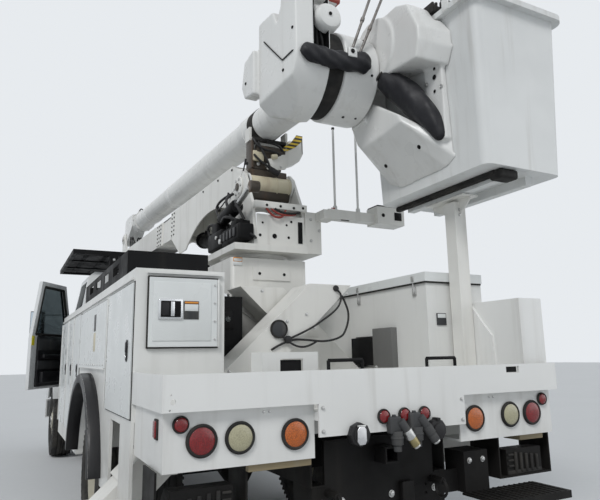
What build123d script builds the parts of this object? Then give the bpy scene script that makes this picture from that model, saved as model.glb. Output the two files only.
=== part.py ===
from build123d import *
import os
from math import atan2, cos, degrees, hypot, radians, sin, tan

# Two-man overcentre bucket truck on a medium conventional chassis.
# Millimetres. While it is built, X is to the truck's right with 0 on its centreline,
# Y is forward with 0 at the tail shelf's rear face, and Z is up from the ground.
# At the end everything is shifted along Y, so that the origin lies under the middle of the truck.

# Whole truck
BODY_HALF = 1220
REAR_AXLE_Y = 2330
WHEELBASE = 4590
FRONT_AXLE_Y = REAR_AXLE_Y + WHEELBASE
FIT = 0.3
PLAY = 6

# Wheels
TYRE_R = 500
TYRE_W = 280
TYRE_SIDES = 48
BEAD_R = 286
TREAD_W = 220
RIM_WALL = 11
DISC_T = 12
DISC_R = 232
HUB_R = 110
DRUM_R = 205
HAND_HOLES = 8
HAND_HOLE_R = 30
HAND_HOLE_PCR = 190
FRONT_WHEEL_X = 1020
REAR_OUTER_X = 1060
TWIN_PITCH = 340
KINGPIN_X = 850
KINGPIN_R = 22
PIN_PLAY = 0.05
STEER_EYE_R = 48

# Frame
RAIL_HALF = 430
RAIL_H = 260
RAIL_TOP = 980
RAIL_FLANGE = 80
RAIL_T = 9
RAIL_Y = (160, 7700)
SUBFRAME_W = 80
DECK_TOP = 1100
DECK_T = 40
CROSSMEMBER_W = 60

# Line body
BAY_INNER = 713
BAY_TOP = 1860
BAY_WALL = 18
BAY_FRONT = 4890
SKIRT_BOTTOM = 560
ARCH_R = 700
FLARE_W = 80
FLARE_T = 60
LEFT_REAR = 650
RIGHT_REAR = 570
DOOR_T = 35
DOOR_PROUD = 12
HINGE_PROUD = 3
HINGE_R = 3.95
LEAF = 14
LID_TOP = 1925
DRIP_Z = 1798
RAIL_PROUD = 14
PANEL_HOLE_Y = (1225, 1475)
PANEL_HOLE_Z = (1275, 1510)

# Tail shelf
SHELF_TOP = 1300
SHELF_LOW = 1140
SHELF_PLATE = 12
CENTRE_HALF = 462
CENTRE_LOW = 985
LAMP_BOX_LOW = 885
LAMP_SETBACK = 50

# Cab
CAB_BACK = 5150
COWL_Y = 6420
CAB_HALF = 1040
CAB_FLOOR = 980
BELT_Z = 1650
EAVE_Z = 2430
EAVE_HALF = 930
EAVE_Y = (5190, 5960)
ROOF_Z = 2500
ROOF_IN = 75
CAB_WALL = 45
GLASS_T = 5
CAB_DOOR_Y = (5296, 6296)
CAB_DOOR_Z = (1010, 2370)
DOOR_CUT_IN = 770
DOOR_OPEN = 33
DOOR_HINGE = (CAB_HALF + HINGE_PROUD, CAB_DOOR_Y[1] - 2)
DOOR_HINGE_R = 4.7

# Cab guard
GUARD_POST_X = 650

# Outriggers
BEAM_SLOPE = 43
BEAM_W = 230
BEAM_Y = 270
BEAM_WALL = 14
BEAM_TOP = 1865
NEAR_BEAM_Y = 980
BEAM_GAP = 30
BEAM_TOP_X = 370
LEG_PLAY = 5
BEAM_END_Z = 700
LEG_TOP = 1760

# Pedestal and turret
PEDESTAL_HALF = 325
PEDESTAL_Y = (1580, 2250)
PEDESTAL_TOP = 2130
SLEW_Y = (PEDESTAL_Y[0] + PEDESTAL_Y[1]) / 2
SLEW_R = 285
SLEW_H = 40
TURNTABLE_T = 80
BOOM_X = 70
BOOM_HALF = 200
PIVOT_Y = 1850
PIVOT_Z = 2780
PIVOT_R = 60
TURRET_PLATE = 25
TURRET_REAR = 1500

# Lower boom, in its own frame from the pivot along the boom
LOWER_RISE = 1.8
LOWER_PLATE = 12
LOWER_TOP = 258
LOWER_DEPTH = 304
BASE_LEN = 2380
INSERT_LEN = 600
INSERT_HALF = 150
ELBOW_AT = 5900
ELBOW_UP = 485
LIFT_EYE = (1800, -150)
TURRET_EYE = (420, -400)
LIFT_BORE_R = 80
LIFT_PIN_R = 30

# Upper boom, in its own frame from the elbow pin towards the rear
UPPER_FALL = 2.85
UPPER_R = 150
UPPER_WALL = 12
UPPER_UP = 234
UPPER_SHIFT = 30
UPPER_LEN = 6800
ELBOW_LUG_HALF = 120
EAR_T = 25
EAR_GAP = 5.5
EAR_R = 110
ELBOW_CLEAR = 200

# Boom tip and bucket
TIP_Y = 930
TIP_Z = 3415
TIP_DISC_R = 330
TIP_COVER_R = 365
TIP_DISC_X = (155, 440)
TIP_COVER_X = (-300, 31)
TIP_SHOULDER = 3815
TIP_TOP = 3950
WELL_X = (-98, 19)
BUCKET_X = (662, 1420)
BUCKET_Y = (-120, 1090)
BUCKET_Z = (2510, 3645)
BUCKET_WALL = 12
BUCKET_DRAFT = 44
BUCKET_LIP = 42
SKID_Z = 2450

# Grab hoops on the tail shelf
GRAB_X = ((-390, -190), (230, 430))
GRAB_TOP = 1345
GRAB_R = 9
SEAT_GAP = 0.3

# Chock holders
CHOCK_Y = (100, 330)
CHOCK_LOW = 645
CHOCK_BOX_W = 430
CHOCK_PLATE = 10

# Tow hitch
HITCH_PITCH = (85.7, 44.5)
HITCH_HOLE_R = 6.8
RECEIVER_HALF = 32
RECEIVER_Z = (823, 887)
PINTLE_X = 250
PINTLE_Z = 640

# Bucket rest
POST_X = BODY_HALF - 270
POST_Y = 490
POST_W = 100
SADDLE_TOP = SKID_Z - 5

# Short post behind the bucket's post
STUB_X = POST_X + 15
STUB_Y = 530
STUB_TOP = 1735

# Hood pivot line over the bumper: y and z
HOOD_PIVOT = (7812, 786)
HOOD_PIN_R = 10
HOOD_EYE_R = 20
HOOD_EYE_X = (610, 640)

# Ends of the whole truck, for the shift to its middle
BUMPER_Y = (7700, 7870)
REAR_END = BUCKET_Y[0] - BUCKET_LIP
FRONT_END = BUMPER_Y[1]
SHIFT_Y = -(REAR_END + FRONT_END) / 2


def block(x0, x1, y0, y1, z0, z1):
    """A box between two corners."""
    return Pos((x0 + x1) / 2, (y0 + y1) / 2, (z0 + z1) / 2) * Box(x1 - x0, y1 - y0, z1 - z0)


def side_plate(points, x0, x1):
    """A closed (y, z) outline, as thick as x0 to x1."""
    return extrude(Plane.YZ.offset(x0) * make_face(Polyline(*points, close=True)), x1 - x0)


def rear_plate(points, y0, y1):
    """A closed (x, z) outline, as thick as y0 to y1."""
    return extrude(Plane.XZ.offset(-y1) * make_face(Polyline(*points, close=True)), y1 - y0)


def rod_x(x0, x1, y, z, r):
    """A round bar along X."""
    return Pos((x0 + x1) / 2, y, z) * Rot(0, 90, 0) * Cylinder(r, x1 - x0)


def rod_y(y0, y1, x, z, r):
    """A round bar along Y."""
    return Pos(x, (y0 + y1) / 2, z) * Rot(90, 0, 0) * Cylinder(r, y1 - y0)


def rod_z(z0, z1, x, y, r):
    """A round bar upright."""
    return Pos(x, y, (z0 + z1) / 2) * Cylinder(r, z1 - z0)


def turned_x(profile, x, y, z):
    """A turned piece from (x, r) points about a line along X through (x, y, z)."""
    face = Plane.XY * make_face(Polyline(*profile, close=True))
    return Pos(x, y, z) * revolve(face, Axis.X)


def mirror_x(shape):
    """The same piece on the other side of the centreline."""
    return mirror(shape, Plane.YZ)


def frame_rails():
    """Two channel rails, joined by crossmembers."""
    y0, y1 = RAIL_Y
    rail = block(RAIL_HALF - RAIL_FLANGE, RAIL_HALF, y0, y1, RAIL_TOP - RAIL_H, RAIL_TOP)
    rail -= block(RAIL_HALF - RAIL_FLANGE - 1, RAIL_HALF - RAIL_T, y0 - 1, y1 + 1,
                  RAIL_TOP - RAIL_H + RAIL_T, RAIL_TOP - RAIL_T)
    body = rail + mirror_x(rail)
    reach = RAIL_HALF - RAIL_T
    for y in (450, 1420, 3100, 4300, 5500, 7560):
        body += block(-reach, reach, y, y + CROSSMEMBER_W, RAIL_TOP - RAIL_H + 40, RAIL_TOP - 40)
    return body


def leaf_spring(x, y, seat_z, end_z, half_len, width, leaf_t):
    """A leaf pack with its hangers, from the axle's seat up to the rail."""
    rail_low = RAIL_TOP - RAIL_H
    pack = side_plate([(y - half_len, end_z), (y - 120, seat_z), (y + 120, seat_z),
                       (y + half_len, end_z), (y + half_len, end_z + leaf_t),
                       (y + 120, seat_z + 2.5 * leaf_t), (y - 120, seat_z + 2.5 * leaf_t),
                       (y - half_len, end_z + leaf_t)], x - width / 2, x + width / 2)
    for end in (-1, 1):
        ye = y + end * (half_len - 35)
        pack += block(x - width / 2, x + width / 2, ye - 35, ye + 35, end_z, rail_low)
    return pack


def front_axle():
    """A dropped forged beam with an eye for each kingpin, and its leaf springs."""
    z = TYRE_R
    eye = rod_z(z - 45, z + 45, KINGPIN_X, FRONT_AXLE_Y, STEER_EYE_R)
    arm = rear_plate([(KINGPIN_X - 20, z - 30), (KINGPIN_X - 20, z + 30), (560, z + 5),
                      (0, z + 5), (0, z - 85), (540, z - 85)],
                     FRONT_AXLE_Y - 45, FRONT_AXLE_Y + 45)
    web = block(0, 600, FRONT_AXLE_Y - 46, FRONT_AXLE_Y - 15, z - 65, z - 15)
    web += block(0, 600, FRONT_AXLE_Y + 15, FRONT_AXLE_Y + 46, z - 65, z - 15)
    half = arm - web + eye
    half += leaf_spring(415, FRONT_AXLE_Y, z + 5, z + 90, 640, 70, 14)
    half -= rod_z(z - 90, z + 90, KINGPIN_X, FRONT_AXLE_Y, KINGPIN_R + PIN_PLAY)
    return half + mirror_x(half)


def rear_axle():
    """A drive axle housing with its differential, leaf springs and drive shaft."""
    z = TYRE_R
    end = REAR_OUTER_X - TWIN_PITCH - TYRE_W / 2 + 25
    body = rod_x(-end, end, REAR_AXLE_Y, z, 70)
    body += turned_x([(-150, 0), (-150, 90), (-70, 190), (70, 190), (150, 90), (150, 0)],
                     0, REAR_AXLE_Y, z)
    body += rod_x(end - 16, end, REAR_AXLE_Y, z, 185) + rod_x(-end, 16 - end, REAR_AXLE_Y, z, 185)
    spring = leaf_spring(395, REAR_AXLE_Y, z + 60, z + 120, 700, 80, 18)
    body += spring + mirror_x(spring)
    body += rod_y(REAR_AXLE_Y + 150, 5700, 0, z + 20, 50)
    return body


def engine():
    """The engine and gearbox as one plain block."""
    foot = block(320, RAIL_HALF, FRONT_AXLE_Y - 60, FRONT_AXLE_Y + 60, RAIL_TOP, RAIL_TOP + 30)
    return (block(-330, 330, FRONT_AXLE_Y - 420, FRONT_AXLE_Y + 420, 860, 1380)
            + block(-190, 190, 5701, FRONT_AXLE_Y - 420, 600, 960) + foot + mirror_x(foot))


def side_tanks():
    """Step tanks under both cab doors, hung from the rails."""
    tank = block(470, 1010, 5330, 6180, 520, 900)
    tank = fillet(tank.edges().filter_by(Axis.Y), 70)
    tank += block(960, 1090, 5300, 6210, 560, 585) + block(960, 1090, 5300, 6210, 830, 855)
    for y in (5420, 6040):
        tank += block(RAIL_HALF, 520, y, y + 60, 720, 880)
    return tank + mirror_x(tank)


def front_bumper():
    """A full-width channel bumper with swept ends."""
    y0, y1 = BUMPER_Y
    face = Polyline((-1190, y0), (-1190, y1 - 110), (-900, y1), (900, y1), (1190, y1 - 110),
                    (1190, y0), close=True)
    inner = Polyline((-1170, y0 - 1), (-1170, y1 - 125), (-895, y1 - 18), (895, y1 - 18),
                     (1170, y1 - 125), (1170, y0 - 1), close=True)
    bar = extrude(Plane.XY.offset(480) * make_face(face), 280)
    bar -= extrude(Plane.XY.offset(500) * make_face(inner), 240)
    for side in (-1, 1):
        x = side * (RAIL_HALF - RAIL_FLANGE / 2)
        bar += block(x - 40, x + 40, y0, y1 - 10, 540, 740)
    (yp, zp), (xa, xb) = HOOD_PIVOT, HOOD_EYE_X
    ears = rod_x(xa - PLAY - 10, xb + PLAY + 10, yp, zp, HOOD_PIN_R)
    for x0, x1 in ((xa - PLAY - 10, xa - PLAY), (xb + PLAY, xb + PLAY + 10)):
        ears += rod_x(x0, x1, yp, zp, HOOD_EYE_R) + block(x0, x1, yp - 20, yp + 20, 750, zp)
    return bar + ears + mirror_x(ears)


# Cab panels: the same sections, set in by the given depth, give the outside and the inside
def cab_form(inset):
    """The cab's outer form with every section set in by one depth."""
    low = BELT_Z
    half, top_half = CAB_HALF - inset, EAVE_HALF - inset
    floor = CAB_FLOOR + inset
    back, cowl = CAB_BACK + inset, COWL_Y - inset
    body = block(-half, half, back, cowl, floor, low)
    y0, y1 = EAVE_Y[0] + inset, EAVE_Y[1] - inset
    eave = EAVE_Z - inset * 0.4
    sections = [(low, half, back, cowl), (eave, top_half, y0, y1),
                (ROOF_Z - inset, top_half - ROOF_IN, y0 + ROOF_IN, y1 - ROOF_IN)]
    for lower, upper in zip(sections, sections[1:]):
        body += loft([Plane.XY.offset(z) * Pos(0, (a + b) / 2) * Rectangle(2 * h, b - a)
                      for z, h, a, b in (lower, upper)])
    return body


def pillar_y(z):
    """Where the windscreen's plane lies at one height."""
    return COWL_Y + (EAVE_Y[1] - COWL_Y) * (z - BELT_Z) / (EAVE_Z - BELT_Z)


def door_outline(gap):
    """The side door's (y, z) outline, set in by a gap."""
    y0, y1 = CAB_DOOR_Y
    z0, z1 = CAB_DOOR_Z
    shoulder = BELT_Z + 40
    lean = 105
    return [(y0 + gap, z0 + gap), (y1 - gap, z0 + gap), (y1 - gap, shoulder),
            (pillar_y(z1) - lean + 10 - gap, z1 - gap), (y0 + gap, z1 - gap)]


def door_window(gap):
    """The side window's (y, z) outline, set in by a gap."""
    y0, y1 = CAB_DOOR_Y[0] + 80, CAB_DOOR_Y[1] - 100
    z0, z1 = BELT_Z + 50, CAB_DOOR_Z[1] - 70
    return [(y0 + gap, z0 + gap), (y1 - gap, z0 + gap), (pillar_y(z1) - 190 - gap, z1 - gap),
            (y0 + gap, z1 - gap)]


def windscreen_outline(gap):
    z0, z1 = BELT_Z + 60, EAVE_Z - 70
    return [(-900 + gap, z0 + gap), (900 - gap, z0 + gap), (800 - gap, z1 - gap),
            (gap - 800, z1 - gap)]


def rear_window_outline(gap):
    return [(gap - 620, 1800 + gap), (620 - gap, 1800 + gap), (600 - gap, 2280 - gap),
            (gap - 600, 2280 - gap)]


def cab_shell():
    """Roof, back, floor, dash wall and pillars in one open shell."""
    shell = cab_form(0) - cab_form(CAB_WALL)
    for side in (-1, 1):
        x0, x1 = sorted((side * DOOR_CUT_IN, side * (CAB_HALF + 10)))
        shell -= side_plate(door_outline(0), x0, x1)
    shell -= rear_plate(windscreen_outline(0), EAVE_Y[1] - 140, COWL_Y + 10)
    shell -= rear_plate(rear_window_outline(0), CAB_BACK - 10, EAVE_Y[0] + CAB_WALL + 60)
    x, y = DOOR_HINGE
    for z in (1090, 1480):
        hinge = rod_z(z, z + 120, x, y, DOOR_HINGE_R) + block(CAB_HALF - 4, x + 3, y + 1, y + 8, z, z + 120)
        shell += hinge + mirror_x(hinge)
    return shell


def cab_glass():
    """Windscreen and rear window."""
    layer = cab_form(16) - cab_form(16 + GLASS_T)
    screen = layer & rear_plate(windscreen_outline(FIT), EAVE_Y[1] - 140, COWL_Y + 10)
    rear = layer & rear_plate(rear_window_outline(FIT), CAB_BACK - 10, EAVE_Y[0] + 100)
    return Compound(screen.solids() + rear.solids())


def cab_door(side):
    """One side door cut from the cab's own wall, with its window open."""
    wall = cab_form(0) - cab_form(CAB_WALL)
    x0, x1 = sorted((side * (CAB_HALF + 10), side * DOOR_CUT_IN))
    door = wall & side_plate(door_outline(PLAY), x0, x1)
    within = CAB_HALF - CAB_WALL
    door -= block(-within, within, CAB_BACK, COWL_Y, CAB_FLOOR, CAB_FLOOR + CAB_WALL + 1)
    door -= side_plate(door_window(0), x0 - 5, x1 + 5)
    y = CAB_DOOR_Y[1] - 110
    arm = block(1000, 1400, y - 14, y + 14, 1990, 2015) + block(1020, 1400, y - 14, y + 14, 1560, 1585)
    head = block(1370, 1545, y - 40, y + 30, 1720, 2060) + block(1370, 1545, y - 40, y + 30, 1480, 1690)
    head += block(1440, 1465, y - 10, y + 10, 1600, 1800)
    mirror_set = arm + head
    mirror_set -= cab_form(0)
    stay = mirror_set if side > 0 else mirror_x(mirror_set)
    return door + stay


def cab_door_glass(side):
    layer = cab_form(16) - cab_form(16 + GLASS_T)
    x0, x1 = sorted((side * (CAB_HALF + 10), side * DOOR_CUT_IN))
    return layer & side_plate(door_window(FIT), x0, x1)


def opened_left(shape):
    """The left door stands partly open."""
    hinge = Axis((-DOOR_HINGE[0], DOOR_HINGE[1], 0), (0, 0, 1))
    return shape.rotate(hinge, -DOOR_OPEN)


def dashboard():
    """Instrument panel with the steering column and wheel."""
    inner = CAB_HALF - CAB_WALL
    dash = side_plate([(COWL_Y - CAB_WALL, 1250), (COWL_Y - CAB_WALL, 1600), (6150, 1600),
                       (6020, 1480), (6060, 1300)], -inner + 40, inner - 40)
    column = Pos(-500, 6050, 1440) * Rot(55, 0, 0) * Cylinder(28, 330)
    ring = extrude(RegularPolygon(240, 24) - RegularPolygon(212, 24), 24) + Box(430, 40, 14)
    wheel = Pos(-500, 5915, 1535) * Rot(55, 0, 0) * (ring + Cylinder(60, 20))
    return dash + column + wheel


def seats():
    """Two plain padded seats."""
    seat = block(-760, -260, 5420, 5930, 1180, 1330) + block(-760, -260, 5300, 5420, 1180, 1980)
    seat = fillet(seat.edges().filter_by(Axis.X), 30)
    seat += block(-700, -320, 5420, 5880, CAB_FLOOR + CAB_WALL, 1180)
    return Compound([seat, mirror_x(seat)])


def cab_guard():
    """Ribbed platform over the cab, carried on two posts behind it."""
    top, low = 2750, 2690
    y0, y1 = 5060, 7000
    rim = block(-1150, 1150, y0, y1, low, top) - block(-1110, 1110, y0 + 60, y1 - 60, low - 1, top + 1)
    for i in range(9):
        x = -960 + i * 240
        rim += block(x - 25, x + 25, y0 + 59, y1 - 59, top - 40, top)
    for y in (5700, 6350):
        rim += block(-1111, 1111, y - 30, y + 30, low, top - 40)
    for side in (-1, 1):
        x = side * GUARD_POST_X
        rim += block(x - 50, x + 50, y0, y0 + 70, DECK_TOP, low)
        rim += side_plate([(y0 + 70, low), (y0 + 70, low - 130), (y0 + 90, low - 130),
                           (y0 + 700, low - 20), (y0 + 700, low)], x - 12, x + 12)
    return rim


def hood_form(inset):
    """Hood and front wings as one outer form with every face set in by one depth."""
    sections = [(COWL_Y + 8, 960, 1120, 1640), (7120, 880, 1060, 1590), (7660, 740, 900, 1420)]
    body = None
    for (ya, wa, la, ta), (yb, wb, lb, tb) in zip(sections, sections[1:]):
        nose = inset if yb == sections[-1][0] else 0
        faces = [Plane.XZ.offset(-y) * Pos(0, (low - 100 + top - inset) / 2)
                 * Rectangle(2 * (w - inset), top - inset - low + 100)
                 for y, w, low, top in ((ya, wa, la, ta), (yb - nose, wb, lb, tb))]
        part = loft(faces)
        body = part if body is None else body + part
    low = 790 - (200 if inset else 0)
    wing = [(COWL_Y + 8 + inset, low), (COWL_Y + 8 + inset, 1300 - inset), (7420, 1300 - inset),
            (7740 - inset, 1130 - inset), (7790 - inset, low)]
    x_in = 560
    skin = side_plate(wing, x_in, 1185 - inset)
    body += skin + mirror_x(skin)
    return body


def hood():
    """Hood and wings in one shell that tilts forward, with open wheel arches."""
    shell = hood_form(0) - hood_form(24)
    shell -= block(-600, 600, 7600, 7900, 1000, 1360)
    shell -= rod_x(-1300, 1300, FRONT_AXLE_Y, TYRE_R, TYRE_R + 95)
    shell -= block(-1300, 1300, COWL_Y, 7900, 300, 790)
    shell -= block(-700, 700, COWL_Y, 7560, 300, 1100)
    shell -= block(-560, 560, 7500, 7900, 300, 1001)
    (yp, zp), (xa, xb) = HOOD_PIVOT, HOOD_EYE_X
    eye = rod_x(xa, xb, yp, zp, HOOD_EYE_R) + block(xa, xb, 7770, yp, zp + 4, zp + HOOD_EYE_R)
    eye -= rod_x(xa - 1, xb + 1, yp, zp, HOOD_PIN_R + PIN_PLAY)
    return shell + eye + mirror_x(eye)


def grille():
    """Barred grille and headlamps in the hood's nose."""
    y0, y1 = 7640, 7690
    frame_in = block(-560, 560, y0 - 1, y1 + 1, 1030, 1330)
    body = block(FIT - 600, 600 - FIT, y0, y1, 1000 + FIT, 1360 - FIT) - frame_in
    for i in range(5):
        z = 1060 + i * 60
        body += block(-561, 561, y0 + 4, y1 - 4, z - 10, z + 10)
    return body


# Compartment doors: name, side, y from, y to, z from, z to, hinge edge
BAYS = [
    ("left_tall_rear", -1, 650, 1490, 1060, 1780, "front"),
    ("left_over_wheel", -1, 1550, 3030, 1310, 1770, "bottom"),
    ("left_front_a", -1, 3060, 3590, 700, 1780, "front"),
    ("left_front_b", -1, 3590, 4130, 700, 1780, "front"),
    ("left_front_c", -1, 4130, 4860, 700, 1780, "front"),
    ("right_tall_rear", 1, 590, 1490, 1060, 1780, "front"),
    ("right_front_a", 1, 3060, 3950, 700, 1780, "front"),
    ("right_front_b", 1, 3950, 4860, 700, 1780, "front"),
]
END_DOOR_X = (-1150, -762)
END_DOOR_Z = (1430, 1810)
LID_Y = (RIGHT_REAR - 15, 3040)


def beam_axis_x(z, side):
    """The x of a stand beam's upper face at one height; side is where it runs down to."""
    return side * ((BEAM_TOP - z) / tan(radians(BEAM_SLOPE)) - (BEAM_TOP_X - beam_cut()))


def beam_cut():
    """How wide a beam's level top cut is."""
    return BEAM_W / sin(radians(BEAM_SLOPE))


def stand_beam(side, grow, z_low):
    """One sloping box beam, down to a level, grown on every side."""
    y0 = NEAR_BEAM_Y if side < 0 else NEAR_BEAM_Y + BEAM_Y + BEAM_GAP
    rise = grow / cos(radians(BEAM_SLOPE))
    top_in = -side * BEAM_TOP_X
    top_out = top_in + side * beam_cut()
    run = (BEAM_TOP - z_low) / tan(radians(BEAM_SLOPE))
    shift = side * grow / sin(radians(BEAM_SLOPE))
    points = [(top_in - shift, BEAM_TOP), (top_out + shift, BEAM_TOP),
              (top_out + shift + side * run, z_low), (top_in - shift + side * run, z_low)]
    return rear_plate(points, y0 - grow, y0 + BEAM_Y + grow)


def outrigger_housings():
    """Two crossed box beams joined over the frame."""
    body = None
    for side in (-1, 1):
        bore = stand_beam(side, -BEAM_WALL, 600)
        bore -= block(-2000, 2000, 0, 2000, BEAM_TOP - BEAM_WALL, BEAM_TOP + 10)
        beam = stand_beam(side, 0, BEAM_END_Z) - bore
        body = beam if body is None else body + beam
    y = NEAR_BEAM_Y + BEAM_Y
    tie = rear_plate([(-250, DECK_TOP), (250, DECK_TOP), (250, 1500), (-250, 1500)], y, y + BEAM_GAP)
    return body + tie


def outrigger_leg(side):
    """The sliding inner leg with its foot, drawn right in."""
    leg = stand_beam(side, -BEAM_WALL - LEG_PLAY, 560)
    y0 = NEAR_BEAM_Y if side < 0 else NEAR_BEAM_Y + BEAM_Y + BEAM_GAP
    leg -= block(-2000, 2000, y0 - 50, y0 + BEAM_Y + 50, LEG_TOP, BEAM_TOP + 10)
    x = side * (abs(beam_axis_x(560, side)) - beam_cut() / 2)
    foot = block(x - 190, x + 190, y0 - 15, y0 + BEAM_Y + 15, 525, 560)
    pads = stand_beam(side, -BEAM_WALL - FIT, 1500) - block(-2000, 2000, 0, 2000, 1400, 1620)
    pads -= block(-2000, 2000, 0, 2000, LEG_TOP - 20, BEAM_TOP + 10)
    return leg + foot + pads


def bay_profile(rear, bottom):
    """Side view of one row of compartments, with its wheel arch."""
    return [(rear, bottom), (rear, BAY_TOP), (BAY_FRONT, BAY_TOP), (BAY_FRONT, bottom)]


def bay_hinge(y0, y1, z0, z1, edge):
    """The long fixed half of a door hinge on the right side: round knuckle line and leaf."""
    x = BODY_HALF + DOOR_PROUD + HINGE_PROUD
    if edge == "front":
        y = y1 - 1.5 * PLAY
        leaf = block(BODY_HALF - 1, x + 2, y + 0.5, y + 6, z0, z1)
        leaf += block(BODY_HALF - 1, BODY_HALF + 3, y + 0.5, y + LEAF, z0, z1)
        return leaf + rod_z(z0, z1, x, y, HINGE_R)
    z = z0 - HINGE_PROUD
    leaf = block(BODY_HALF - 1, x + 2, y0 + 20, y1 - 20, z - 6, z - 0.5)
    leaf += block(BODY_HALF - 1, BODY_HALF + 3, y0 + 20, y1 - 20, z - LEAF, z - 0.5)
    return leaf + rod_y(y0 + 20, y1 - 20, x, z, HINGE_R)


def bay_row(side, rear):
    """One row of hollow compartments with its skirt, arch and flare."""
    x0, x1 = BAY_INNER, BODY_HALF
    row = side_plate(bay_profile(rear, SKIRT_BOTTOM), x0, x1)
    row -= rod_x(x0 - 1, x1 + 1, REAR_AXLE_Y, TYRE_R, ARCH_R)
    row -= block(x0 - 1, x1 - BAY_WALL, rear - 1, REAR_AXLE_Y - ARCH_R + 60, SKIRT_BOTTOM - 1, 1042)
    flare = rod_x(x1 - BAY_WALL, x1 + FLARE_W, REAR_AXLE_Y, TYRE_R, ARCH_R + FLARE_T)
    flare -= rod_x(x0 - 1, x1 + FLARE_W + 1, REAR_AXLE_Y, TYRE_R, ARCH_R)
    flare -= block(x0, x1 + FLARE_W + 1, REAR_AXLE_Y - 1000, REAR_AXLE_Y + 1000, -400, SKIRT_BOTTOM + 60)
    row += flare
    for name, bay_side, y0, y1, z0, z1, hinge in BAYS:
        if bay_side != side:
            continue
        row -= block(x0 + BAY_WALL, x1 + 1, y0 + PLAY, y1 - PLAY, z0 - PLAY, z1 + PLAY)
        row += bay_hinge(y0, y1, z0, z1, hinge)
    row += block(x1 - 1, x1 + RAIL_PROUD, rear + 40, BAY_FRONT - 20, DRIP_Z, DRIP_Z + 12)
    if side > 0:
        row -= block(x0 - 1, x0 + BAY_WALL + 1, *PANEL_HOLE_Y, *PANEL_HOLE_Z)
        row -= block(x0 + BAY_WALL, x1 - BAY_WALL, 1550, 3030, 1310, BAY_TOP + 1)
        row -= block(x0 + BAY_WALL, x1 - BAY_WALL, 590 + PLAY, 1490, 1780, BAY_TOP + 1)
        row += rod_y(LID_Y[0] + 20, LID_Y[1] - 20, x1 + HINGE_PROUD, BAY_TOP, HINGE_PROUD - FIT)
        row += block(x1 - 1, x1 + HINGE_PROUD, LID_Y[0] + 20, LID_Y[1] - 20, BAY_TOP - LEAF, BAY_TOP - 1)
        return row
    row = mirror_x(row)
    row -= block(END_DOOR_X[0] - PLAY, END_DOOR_X[1] + PLAY, rear - 1, rear + BAY_WALL + 20,
                 END_DOOR_Z[0] - PLAY, END_DOOR_Z[1] + PLAY)
    xh, yh = END_DOOR_X[1] + HINGE_PROUD, rear + 10 - DOOR_T - HINGE_PROUD
    row += rod_z(END_DOOR_Z[0], END_DOOR_Z[1], xh, yh, HINGE_R)
    row += block(END_DOOR_X[0] - 10, END_DOOR_X[1] + 30, rear - 22, rear + 1, 1832, 1842)
    row += block(xh + 0.5, xh + 6, yh - 2, rear + 1, END_DOOR_Z[0], END_DOOR_Z[1])
    row -= block(-x1 - 1, -x0 - 100, 956, 1300, SKIRT_BOTTOM - 1, 1010)
    return row


def compartments(side):
    rear = LEFT_REAR if side < 0 else RIGHT_REAR
    row = bay_row(side, rear)
    row -= stand_beam(side, LEG_PLAY, 500)
    return row


def bay_door(y0, y1, z0, z1, side):
    """A compartment door with a raised inner field."""
    x0, x1 = BODY_HALF + DOOR_PROUD - DOOR_T, BODY_HALF + DOOR_PROUD
    door = block(x0, x1, y0 + 2 * PLAY, y1 - 2 * PLAY, z0, z1)
    return door if side > 0 else mirror_x(door)


def end_door():
    """The small door in the left row's rear end."""
    y1 = LEFT_REAR + 10
    return block(END_DOOR_X[0], END_DOOR_X[1], y1 - DOOR_T, y1, END_DOOR_Z[0], END_DOOR_Z[1])


def bin_lid():
    """The top lid of the right row."""
    y0, y1 = LID_Y
    x0, x1 = BAY_INNER - 15, BODY_HALF
    lid = block(x0, x1, y0, y1, BAY_TOP + FIT, LID_TOP)
    lid -= block(x0 + BAY_WALL, x1 - BAY_WALL, y0 + BAY_WALL, y1 - BAY_WALL, BAY_TOP - 1, LID_TOP - 12)
    return lid


def top_tray():
    """Open tray on the left row's top."""
    x0, x1, y0, y1 = -1205, -700, 1000, 3000
    tray = block(x0, x1, y0, y1, BAY_TOP, 2020) - block(x0 + 6, x1 - 6, y0 + 6, y1 - 6, BAY_TOP + 6, 2021)
    for y in (1300, 1700, 2100, 2500):
        tray -= block(x0 - 1, x1 + 1, y, y + 220, 1920, 1980)
    return tray


def deck():
    """Load floor on its two subframe beams, with openings for what passes through."""
    floor = block(-BAY_INNER, BAY_INNER, LAMP_SETBACK + SHELF_PLATE, 5130, DECK_TOP - DECK_T, DECK_TOP)
    for side in (-1, 1):
        x0, x1 = sorted((side * (RAIL_HALF - SUBFRAME_W), side * RAIL_HALF))
        floor += block(x0, x1, RAIL_Y[0], 5100, RAIL_TOP, DECK_TOP - DECK_T)
    y0, y1 = PEDESTAL_Y
    floor += block(-340, 340, y0, y1 + 60, RAIL_TOP, DECK_TOP - DECK_T)
    bracket = block(-670, -350, 200, 350, DECK_TOP - 1, 1390) - block(-660, -360, 210, 351, DECK_TOP, 1380)
    bracket -= block(-570, -440, 199, 211, DECK_TOP, 1355)
    floor += bracket
    for side in (-1, 1):
        floor -= stand_beam(side, LEG_PLAY, 600)
    return floor


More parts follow.
